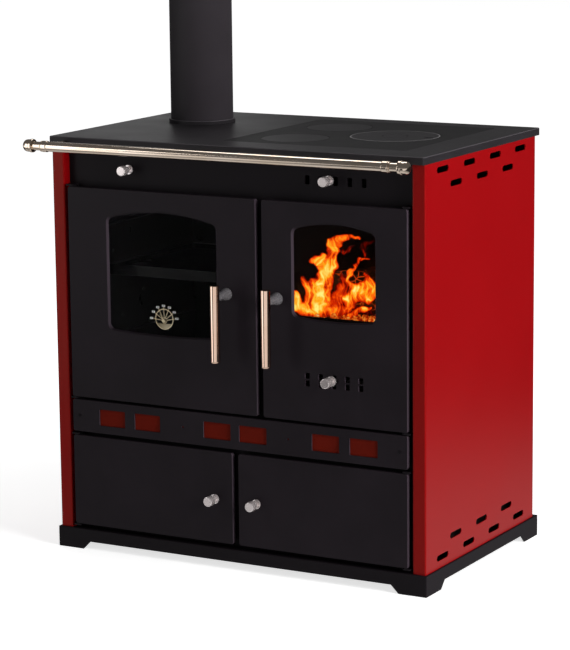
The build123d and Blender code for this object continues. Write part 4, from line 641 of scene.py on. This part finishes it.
# %% Tabs and numbers
DIAL = Vector((-0.161, -0.2115, 0.492))
DIAL_BEHIND = 0.0012      # from the glass to the wires
TAB_PROUD = 0.00012
NUMBER_PROUD = 0.00032
NUMBER_HEIGHT = 0.0033
TAB_R = 0.030
TABS = 7
TAB_FIRST = math.radians(12)
TAB_STEP = math.radians(27)
tab_white = Finish("tab_white", roughness=0.5)
tab_white.set(base_color=tab_white.blend(tab_white.noise(300.0), (0.96, 0.96, 0.98), (0.84, 0.84, 0.86)))
number_black = Finish("number_black", roughness=0.6)
ink = number_black.noise(500.0)
number_black.set(base_color=number_black.blend(ink, (0.012, 0.012, 0.013), (0.03, 0.03, 0.03)))


def tab_tree():
    tabs = Tree("dial_tabs", Width=("NodeSocketFloat", 0.0070), Height=("NodeSocketFloat", 0.0040),
                Thickness=("NodeSocketFloat", 0.0003))
    size = tabs.node("ShaderNodeCombineXYZ", None, {"X": tabs.given("Width"), "Y": tabs.given("Thickness"),
                                                     "Z": tabs.given("Height")})
    plate = tabs.node("GeometryNodeMeshCube", None, {"Size": size})
    placed = tabs.node("GeometryNodeInstanceOnPoints", None,
                       {"Points": tabs.given("Geometry"), "Instance": plate})
    tabs.finish(placed, tab_white.material)
    return tabs


def tab_centre(i, ahead):
    """Middle of a tab, counted from the right, at the depth ahead."""
    angle = TAB_FIRST + TAB_STEP * i
    return Vector((DIAL.x + TAB_R * math.cos(angle), ahead, DIAL.z + TAB_R * math.sin(angle)))


dial_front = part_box("oven_door_glass")[0][1] - DIAL_BEHIND
tabs = new_piece("dial_tabs", [tab_centre(i, dial_front - TAB_PROUD) for i in range(TABS)])
grow(tabs, tab_tree())
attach(tabs, "oven_door")


def number(text, centre, height):
    """One number as flat mesh facing forward, with its place in its vertices."""
    curve = bpy.data.curves.new("number", "FONT")
    curve.body, curve.size, curve.align_x, curve.align_y = text, height, "CENTER", "CENTER"
    curve.extrude = 0.00005
    writer = bpy.data.objects.new("number", curve)
    bpy.context.scene.collection.objects.link(writer)
    view = bpy.context.evaluated_depsgraph_get()
    mesh = bpy.data.meshes.new_from_object(writer.evaluated_get(view))
    mesh.transform(Matrix.Translation(centre) @ Matrix.Rotation(math.pi / 2, 4, "X"))
    bpy.data.objects.remove(writer)
    bpy.data.curves.remove(curve)
    return mesh


def joined(name, meshes, finish):
    """Several meshes as one piece."""
    work = bmesh.new()
    for mesh in meshes:
        work.from_mesh(mesh)
        bpy.data.meshes.remove(mesh)
    piece = new_piece(name)
    work.to_mesh(piece.data)
    work.free()
    piece.data.materials.clear()
    piece.data.materials.append(finish.material)
    for face in piece.data.polygons:
        face.material_index = 0
    return piece


degrees = [str(50 * (TABS - 1 - i)) for i in range(TABS)]
marks = joined("dial_numbers", [number(text, tab_centre(i, dial_front - NUMBER_PROUD), NUMBER_HEIGHT)
                                for i, text in enumerate(degrees)], number_black)
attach(marks, "oven_door")
print("degrees on the dial:", degrees[::-1])

# %% [markdown]
# ## Screws that hold the door liners
# The glass is clamped between each door's front and its liner, and small pan-head screws hold the two
# together. They repeat at even steps along the liner's top and bottom, so a tree copies one turned head to
# each point.

# %% Liner screws
SCREW_INSET = 0.0045
SCREW_SHARES = (0.06, 0.5, 0.94)     # of the liner's width


def screw_tree():
    screws = Tree("liner_screws", Head=("NodeSocketFloat", 0.0038), Rise=("NodeSocketFloat", 0.0018))
    head = screws.node("GeometryNodeMeshUVSphere", None, {"Segments": 16, "Rings": 8, "Radius": 1.0})
    size = screws.node("ShaderNodeCombineXYZ", None, {"X": screws.given("Head"), "Y": screws.given("Rise"),
                                                       "Z": screws.given("Head")})
    placed = screws.node("GeometryNodeInstanceOnPoints", None,
                         {"Points": screws.given("Geometry"), "Instance": head, "Scale": size})
    screws.finish(placed, zinc.material)
    return screws


screw_maker = screw_tree()
for door in ("oven_door", "fire_door"):
    low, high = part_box(door + "_liner")
    spots = []
    for share in SCREW_SHARES:
        x_at = low[0] + share * (high[0] - low[0])
        spots += [(x_at, high[1], low[2] + SCREW_INSET), (x_at, high[1], high[2] - SCREW_INSET)]
    screws = new_piece(door + "_liner_screws", spots)
    grow(screws, screw_maker)
    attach(screws, door)

# %% [markdown]
# ## Logs and embers
# Behind the fire door split logs burn on the grate. Each log is a wedge of a trunk: a swept outline with
# rough bark, charred dark and cracked, with fire showing in the cracks. The embers under them are many
# small lumps, so a tree scatters them on the grate with a fixed seed. Mirrors don't show them, so that the
# bars stay clean.

# %% Charred wood and glowing embers
char = Finish("charred_wood", roughness=0.9, emission_strength=1.4)
crack = char.node("ShaderNodeTexVoronoi", {"feature": "DISTANCE_TO_EDGE"},
                  {"Vector": char.place, "Scale": 70.0})
glow = (1.0 - crack.above(0.05, 0.045)) * char.noise(18.0, 3.0).above(0.55, 0.1)
char.set(base_color=char.blend(char.noise(70.0, 4.0), (0.010, 0.008, 0.007), (0.055, 0.045, 0.038)))
char.set(emission_color=char.blend(glow, (0.0, 0.0, 0.0), (0.42, 0.035, 0.002)))
char.bump(char.noise(120.0, 5.0, 0.7) + crack, 0.0015)
ember = Finish("ember", roughness=0.9, base_color=(0.016, 0.009, 0.006), emission_strength=0.8)
heat = ember.noise(90.0, 3.0)
EMBER_HEATS = [(0.30, (0.02, 0.0, 0.0)), (0.46, (0.55, 0.03, 0.0)),
               (0.60, (1.0, 0.25, 0.02)), (0.75, (1.0, 0.75, 0.25))]
ember.set(emission_color=ember.node("ShaderNodeValToRGB", {"stops": EMBER_HEATS}, {"Fac": heat}))
ember.bump(heat, 0.001)

GRATE_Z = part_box("fire_grate")[1][2]
LOG_AROUND, LOG_RINGS = 18, 15


def outward(piece):
    """Turns every face outwards."""
    work = bmesh.new()
    work.from_mesh(piece.data)
    bmesh.ops.recalc_face_normals(work, faces=work.faces)
    work.to_mesh(piece.data)
    work.free()


def log(name, start, end, thick, seed):
    """A split log between two points: a wobbly wedge outline swept along a slightly bent line."""
    shaker = random.Random(seed)
    start, end = Vector(start), Vector(end)
    along = (end - start).normalized()
    side = along.cross(Vector((0, 0, 1))).normalized()
    up = side.cross(along)
    around, rings = LOG_AROUND, LOG_RINGS
    lumps = [shaker.uniform(0.86, 1.12) for _ in range(around)]
    points = []
    for ring in range(rings):
        t = ring / (rings - 1)
        centre = start.lerp(end, t) + up * 0.004 * math.sin(3 * t + seed)
        for i in range(around):
            a = 2 * math.pi * i / around
            flat = 0.72 if math.sin(a + seed) > 0.3 else 1.0
            r = thick * lumps[i] * flat * (1 + shaker.uniform(-0.04, 0.04))
            points.append(centre + side * r * math.cos(a) + up * r * math.sin(a))
    faces = []
    for ring in range(rings - 1):
        for i in range(around):
            j = (i + 1) % around
            a, b = ring * around, (ring + 1) * around
            faces.append((a + i, a + j, b + j, b + i))
    faces.append(tuple(range(around - 1, -1, -1)))
    faces.append(tuple((rings - 1) * around + i for i in range(around)))
    piece = new_piece(name, points, (), faces, char, smooth=True)
    outward(piece)
    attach(piece, "stove")


LOG_R = 0.021
low_z = GRATE_Z + LOG_R * 1.15
log("log_front", (0.108, -0.088, low_z), (0.322, -0.098, low_z + 0.002), LOG_R, 7)
log("log_middle", (0.110, -0.028, low_z), (0.325, -0.015, low_z + 0.002), LOG_R * 1.05, 3)
log("log_back", (0.112, 0.060, low_z), (0.322, 0.045, low_z + 0.004), LOG_R * 1.1, 12)
log("log_top", (0.130, -0.075, low_z + 0.044), (0.262, 0.060, low_z + 0.046), LOG_R * 0.9, 11)


def ember_tree():
    bed = Tree("ember_bed", Density=("NodeSocketFloat", 9000.0), Seed=("NodeSocketInt", 4),
               Lump=("NodeSocketFloat", 0.006))
    spots = bed.node("GeometryNodeDistributePointsOnFaces", None,
                     {"Mesh": bed.given("Geometry"), "Density": bed.given("Density"),
                      "Seed": bed.given("Seed")})
    lump = bed.node("GeometryNodeMeshIcoSphere", None, {"Radius": bed.given("Lump"), "Subdivisions": 2})
    turn = bed.node("FunctionNodeRandomValue", {"data_type": "FLOAT_VECTOR"},
                    {"Min": (0.0, 0.0, 0.0), "Max": (6.28, 6.28, 6.28), "Seed": 9})
    size = bed.node("FunctionNodeRandomValue", {"data_type": "FLOAT_VECTOR"},
                    {"Min": (0.5, 0.4, 0.35), "Max": (1.5, 1.2, 0.9), "Seed": 2})
    placed = bed.node("GeometryNodeInstanceOnPoints", None,
                      {"Points": spots, "Instance": lump, "Rotation": turn, "Scale": size})
    bed.finish(placed, ember.material)
    return bed


BED_X, BED_Y, BED_Z = (0.10, 0.335), (-0.135, 0.155), GRATE_Z + 0.005
bed_corners = [(BED_X[0], BED_Y[0], BED_Z), (BED_X[1], BED_Y[0], BED_Z),
               (BED_X[1], BED_Y[1], BED_Z), (BED_X[0], BED_Y[1], BED_Z)]
embers = new_piece("ember_bed", bed_corners, (), [(0, 1, 2, 3)])
grow(embers, ember_tree())
embers.visible_glossy = False
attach(embers, "stove")

# %% [markdown]
# ## Flames
# Flames are glowing gas with soft, torn edges. A cloud of fire would need a simulation and a volume that
# other viewers can't show. Here each row of flames is a fine curtain of mesh. Each point's warmth comes
# from the tongues near it: a tongue has a spine that curls as fire does, and noise bends it, folds it and
# draws bright veins along it. Faces without warmth are left out, and the finish turns warmth into colour,
# from deep red to pale yellow.

# %% Flame finish and curtains
flame = Finish("flame", base_color=(0.0, 0.0, 0.0), roughness=1.0, specular_ior_level=0.0,
               emission_strength=1.1)
warmth = flame.node("ShaderNodeAttribute", {"attribute_name": "warmth"}, out="Fac")
level = warmth + (flame.noise(220.0, 3.0, 0.6) - 0.5) * 0.10
FLAME_HEATS = [(0.08, (0.0, 0.0, 0.0)), (0.18, (0.10, 0.001, 0.0)), (0.34, (0.58, 0.016, 0.0)),
               (0.52, (1.0, 0.12, 0.003)), (0.70, (1.0, 0.42, 0.012)), (0.96, (1.0, 0.84, 0.20))]
flame.set(emission_color=flame.node("ShaderNodeValToRGB", {"stops": FLAME_HEATS}, {"Fac": level}))
flame.set(alpha=level.above(0.13, 0.09))

FLAME_HEIGHT = 0.93       # of the height at which the tongues below are drawn
CURTAIN_X = (0.092, 0.340)
CURTAIN_TALL = 0.192
CURTAIN_STEP = 0.00105
COLD = 0.03               # warmth below which a face is left out


def swirl(x, z, fineness, seed):
    """Smooth noise between -1 and 1 at a place in the curtain."""
    return noise.noise(Vector((x * fineness, z * fineness, seed)))


def tongue_warmth(x, z, spine, power):
    """A tongue's warmth at a place: its spine has a point and a radius for each bend, from root to tip."""
    best = 0.0
    lengths = len(spine) - 1
    for i in range(lengths):
        (ax, az, ar), (bx, bz, br) = spine[i], spine[i + 1]
        run = (bx - ax) ** 2 + (bz - az) ** 2
        t = max(0.0, min(1.0, ((x - ax) * (bx - ax) + (z - az) * (bz - az)) / run))
        far = math.hypot(x - ax - t * (bx - ax), z - az - t * (bz - az)) / (ar + t * (br - ar))
        if far < 1.0:
            along = (i + t) / lengths
            best = max(best, power * (1.0 - far ** 2.5) * (1.0 - 0.6 * along ** 2))
    return best


def fire(x, z, tongues, seed):
    """Warmth at a place in a curtain, with its folds and veins."""
    bend = 0.006 + 0.036 * z
    wx = x + bend * swirl(x, z - 0.3, 34.0, seed) + 0.4 * bend * swirl(x, z, 95.0, seed + 5)
    wz = z + bend * swirl(x, z, 34.0, seed + 9) + 0.4 * bend * swirl(x, z, 95.0, seed + 14)
    hot = max([tongue_warmth(wx, wz, spine, power) for spine, power in tongues] + [0.0])
    hot *= min(1.0, 0.35 + wz / 0.026)
    if hot == 0.0:
        return 0.0
    fold = swirl(wx * 1.3, wz * 0.7, 50.0, seed + 30)
    vein = (1.0 - abs(swirl(wx * 1.7, wz * 0.6, 70.0, seed + 20))) ** 4
    fine = (1.0 - abs(swirl(wx * 1.9, wz * 0.85, 150.0, seed + 60))) ** 3
    return max(0.0, hot * (0.5 + 0.5 * fold) + (0.36 * vein + 0.16 * fine) * math.sqrt(hot))


def curtain(name, y, tongues, seed):
    """A curtain of flames at depth y, with its warmth stored on the points."""
    (x0, x1), z1 = CURTAIN_X, CURTAIN_TALL
    columns, rows = round((x1 - x0) / CURTAIN_STEP), round(z1 / CURTAIN_STEP)
    points, warm = [], []
    for row in range(rows + 1):
        z = z1 * row / rows
        for column in range(columns + 1):
            x = x0 + (x1 - x0) * column / columns
            warm.append(fire(x, z / FLAME_HEIGHT, tongues, seed))
            points.append((x, y + 0.010 * math.sin(21 * x + seed) + 0.006 * swirl(x, z, 18.0, seed + 40),
                           GRATE_Z + 0.004 + z))
    faces = []
    for row in range(rows):
        for column in range(columns):
            a = row * (columns + 1) + column
            corners = (a, a + 1, a + columns + 2, a + columns + 1)
            if max(warm[c] for c in corners) > COLD:
                faces.append(corners)
    kept = sorted({c for face in faces for c in face})
    order = {c: i for i, c in enumerate(kept)}
    piece = new_piece(name, [points[c] for c in kept], (), [tuple(order[c] for c in face) for face in faces],
                      flame, smooth=True)
    store = piece.data.attributes.new("warmth", "FLOAT", "POINT")
    store.data.foreach_set("value", [warm[c] for c in kept])
    piece.visible_glossy = False
    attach(piece, "stove")
    print(name, len(tongues), "tongues", len(faces), "faces")


curtain("flames_front", -0.128, [
    (((0.140, 0.009, 0.022), (0.141, 0.038, 0.030), (0.149, 0.066, 0.026), (0.160, 0.090, 0.017),
      (0.167, 0.113, 0.016), (0.170, 0.138, 0.015), (0.174, 0.156, 0.012), (0.188, 0.169, 0.009),
      (0.208, 0.175, 0.007), (0.228, 0.171, 0.005)), 1.0),
    (((0.158, 0.111, 0.012), (0.144, 0.123, 0.010), (0.132, 0.118, 0.006)), 0.9),
    (((0.130, 0.047, 0.014), (0.120, 0.066, 0.010), (0.117, 0.081, 0.005)), 0.9),
    (((0.178, 0.028, 0.018), (0.190, 0.053, 0.017), (0.197, 0.075, 0.012), (0.195, 0.092, 0.007)), 0.42),
    (((0.206, 0.038, 0.016), (0.214, 0.058, 0.009), (0.206, 0.079, 0.005), (0.206, 0.102, 0.004),
      (0.213, 0.118, 0.0035), (0.228, 0.128, 0.003), (0.252, 0.126, 0.003)), 0.75),
    (((0.206, 0.041, 0.016), (0.228, 0.056, 0.019), (0.246, 0.070, 0.015), (0.246, 0.090, 0.007)), 1.0),
    (((0.244, 0.055, 0.018), (0.258, 0.062, 0.014), (0.256, 0.081, 0.009), (0.240, 0.098, 0.005)), 0.9),
    (((0.242, 0.133, 0.005), (0.234, 0.149, 0.010), (0.246, 0.162, 0.008), (0.258, 0.167, 0.004)), 0.16),
    (((0.180, 0.143, 0.008), (0.198, 0.143, 0.009), (0.214, 0.149, 0.004)), 0.22),
    (((0.092, 0.041, 0.010), (0.102, 0.019, 0.016), (0.128, 0.008, 0.018), (0.160, 0.009, 0.018),
      (0.196, 0.015, 0.014), (0.215, 0.028, 0.010)), 0.9),
    (((0.200, 0.002, 0.007), (0.222, 0.011, 0.008), (0.240, 0.023, 0.007), (0.252, 0.028, 0.004)), 1.0),
    (((0.190, 0.011, 0.022), (0.262, 0.013, 0.026)), 0.16),
    (((0.290, 0.000, 0.020), (0.294, 0.042, 0.017), (0.286, 0.080, 0.009), (0.292, 0.105, 0.005)), 0.9),
    (((0.320, 0.000, 0.018), (0.322, 0.033, 0.013), (0.328, 0.062, 0.006)), 0.8),
], 3.0)
curtain("flames_middle", -0.058, [
    (((0.262, 0.000, 0.026), (0.270, 0.050, 0.022), (0.260, 0.095, 0.014), (0.268, 0.140, 0.006)), 0.9),
    (((0.310, 0.000, 0.022), (0.306, 0.050, 0.015), (0.314, 0.088, 0.006)), 0.8),
    (((0.120, 0.010, 0.020), (0.128, 0.050, 0.012), (0.122, 0.080, 0.005)), 0.35),
    (((0.105, 0.004, 0.014), (0.235, 0.004, 0.016)), 0.45),
], 8.0)
curtain("flames_back", 0.030, [
    (((0.240, 0.000, 0.028), (0.232, 0.060, 0.020), (0.246, 0.110, 0.012), (0.238, 0.150, 0.005)), 0.8),
    (((0.300, 0.000, 0.024), (0.308, 0.055, 0.016), (0.298, 0.100, 0.006)), 0.8),
    (((0.110, 0.000, 0.016), (0.200, 0.006, 0.020)), 0.4),
], 14.0)

# %% [markdown]
# ## White floor
# The stove stands on white. More light would make the floor white, but would wash out the stove too, so the
# floor glows for the camera alone, and the light that falls on the stove meets a plain matt floor. Polished
# bars need something to mirror, as a studio gives them with white and black cards, so a reflection of the
# floor sees bright and dark bands round the front: that gives the nickel its stripes. Near the stove it
# sees a softer grey.

# %% Floor
def graph(owner):
    """An empty node tree of a material or a world, with a short way to add nodes to it."""
    owner.use_nodes = True
    owner.node_tree.nodes.clear()

    def add(kind, settings=None, inputs=None, out=0):
        made = owner.node_tree.nodes.new(kind)
        for key, value in (settings or {}).items():
            setattr(made, key, value)
        for key, value in (inputs or {}).items():
            if isinstance(value, bpy.types.NodeSocket):
                owner.node_tree.links.new(value, made.inputs[key])
            else:
                made.inputs[key].default_value = value
        return made.outputs[out] if made.outputs else made
    return add


FLOOR_NEAR = 0.72         # glow under the stove, where its shadow falls; 1.0 is white
NEAR_GLOSS = 0.60         # what mirrors see of the floor near the stove
FRONT_GLOSS = 1.6         # and of the cards in front of it
CARDS = ((-80, 0.39), (-75, 1.0), (-35, 1.0), (-32, 0.42), (-24, 0.42), (-21, 0.02), (-9, 0.02),
         (-6, 0.48), (90, 0.48))     # degrees to the right, brightness

floor_white = bpy.data.materials.new("floor_white")
add = graph(floor_white)
camera_ray = add("ShaderNodeLightPath", out="Is Camera Ray")
glossy_ray = add("ShaderNodeLightPath", out="Is Glossy Ray")
place = add("ShaderNodeTexCoord", out="Object")
far = add("ShaderNodeVectorMath", {"operation": "LENGTH"}, {0: place}, out="Value")
ahead = add("ShaderNodeVectorMath", {"operation": "DOT_PRODUCT"}, {0: place, 1: (0.0, -1.0, 0.0)},
            out="Value")
fade = add("ShaderNodeMapRange", {"interpolation_type": "SMOOTHSTEP"},
           {"Value": far, "From Min": 0.5, "From Max": 1.9})
near_gloss = add("ShaderNodeMapRange", None, {"Value": fade, "To Min": NEAR_GLOSS, "To Max": 0.02})
side = add("ShaderNodeVectorMath", {"operation": "DOT_PRODUCT"}, {0: place, 1: (1.0, 0.0, 0.0)}, out="Value")
turn = add("ShaderNodeMath", {"operation": "ARCTAN2"}, {0: side, 1: ahead})
round_front = add("ShaderNodeMapRange", None,
                  {"Value": turn, "From Min": -math.pi / 2, "From Max": math.pi / 2})
cards = floor_white.node_tree.nodes.new("ShaderNodeValToRGB")
floor_white.node_tree.links.new(round_front, cards.inputs[0])
while len(cards.color_ramp.elements) < len(CARDS):
    cards.color_ramp.elements.new(1.0)
for stop, (degrees_right, strength) in zip(cards.color_ramp.elements, CARDS):
    stop.position = 0.5 + degrees_right / 180.0
    stop.color = (strength, strength, strength, 1.0)
forward = add("ShaderNodeMapRange", {"interpolation_type": "SMOOTHSTEP"},
              {"Value": ahead, "From Min": 0.9, "From Max": 1.8, "To Max": FRONT_GLOSS})
front_gloss = add("ShaderNodeMath", {"operation": "MULTIPLY"}, {0: forward, 1: cards.outputs[0]})
gloss = add("ShaderNodeMath", {"operation": "MAXIMUM"}, {0: near_gloss, 1: front_gloss})
matt = add("ShaderNodeBsdfDiffuse", None, {"Color": (0.82, 0.82, 0.82, 1.0)})
mirrored = add("ShaderNodeEmission", None, {"Strength": gloss})
lift = add("ShaderNodeMapRange", None, {"Value": fade, "To Min": FLOOR_NEAR, "To Max": 1.0})
glow = add("ShaderNodeEmission", None, {"Strength": lift})
lit = add("ShaderNodeAddShader", None, {0: matt, 1: glow})
seen = add("ShaderNodeMixShader", None, {0: camera_ray, 1: matt, 2: lit})
surface = add("ShaderNodeMixShader", None, {0: glossy_ray, 1: seen, 2: mirrored})
add("ShaderNodeOutputMaterial", None, {"Surface": surface})
floor = new_piece("floor", [(-14, -14, 0), (14, -14, 0), (14, 14, 0), (-14, 14, 0)], (), [(0, 1, 2, 3)])
floor.data.materials.append(floor_white)
floor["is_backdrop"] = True
print("floor with", len(CARDS), "bands for mirrors")

# %% [markdown]
# ## White room
# A world that is white for every ray would light the stove flat from all sides. So the room is white to the
# camera and through glass, almost dark to the stove, and dim to what mirrors it.

# %% Room
ROOM_LIGHT = 0.04
ROOM_GLOSS = 0.10
world = bpy.data.worlds.new("studio")
bpy.context.scene.world = world
add = graph(world)
camera_ray = add("ShaderNodeLightPath", out="Is Camera Ray")
through_ray = add("ShaderNodeLightPath", out="Is Transmission Ray")
seen = add("ShaderNodeMath", {"operation": "MAXIMUM"}, {0: camera_ray, 1: through_ray})
glossy_ray = add("ShaderNodeLightPath", out="Is Glossy Ray")
room = add("ShaderNodeMapRange", None, {"Value": glossy_ray, "To Min": ROOM_LIGHT, "To Max": ROOM_GLOSS})
level = add("ShaderNodeMix", {"data_type": "FLOAT"}, {0: seen, 2: room, 3: 1.0})
air = add("ShaderNodeBackground", None, {"Color": (1.0, 1.0, 1.0, 1.0), "Strength": level})
add("ShaderNodeOutputWorld", None, {"Surface": air})
print("room gives", ROOM_LIGHT, "of white to the stove")

# %% [markdown]
# ## Lamps
# One large soft lamp on the right lights the side panel, a weaker one in front lifts the doors, and one
# above draws the edges of the top. The one on the right is hidden from mirrors, because the top would show
# it as a white patch from the left. A small card behind is seen in reflections only, and puts a sheen on
# the top.

# %% Place the lamps
def lamp(name, place, target, width, height, power):
    """A soft rectangular lamp at a place, aimed at a target, in metres and watts."""
    data = bpy.data.lights.new(name, "AREA")
    data.shape, data.size, data.size_y, data.energy = "RECTANGLE", width, height, power
    item = bpy.data.objects.new(name, data)
    item.location = place
    item.rotation_euler = (Vector(target) - Vector(place)).to_track_quat("-Z", "Y").to_euler()
    item.visible_camera = False
    bpy.context.scene.collection.objects.link(item)
    print(name, power, "W")
    return item


side = lamp("side_softbox", (4.2, -0.9, 1.9), (0.3, 0.0, 0.5), 2.0, 2.4, 195)
side.visible_glossy = False
lamp("front_softbox", (-2.9, -3.4, 1.6), (0.0, 0.0, 0.5), 1.2, 2.4, 18)
lamp("top_softbox", (-0.6, 1.2, 3.6), (-0.1, 0.0, 0.8), 2.6, 1.4, 30)
card = lamp("sheen_card", (-2.7, 3.4, 1.4), (-0.3, 0.0, 0.85), 1.3, 0.9, 2.6)
card.visible_diffuse = False
bpy.context.scene.view_settings.view_transform = "Standard"

# %% [markdown]
# ## Size of the dressed stove
# The last line measures the box round the dressed stove, without the floor.

# %% Measure the dressed stove
low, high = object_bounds()
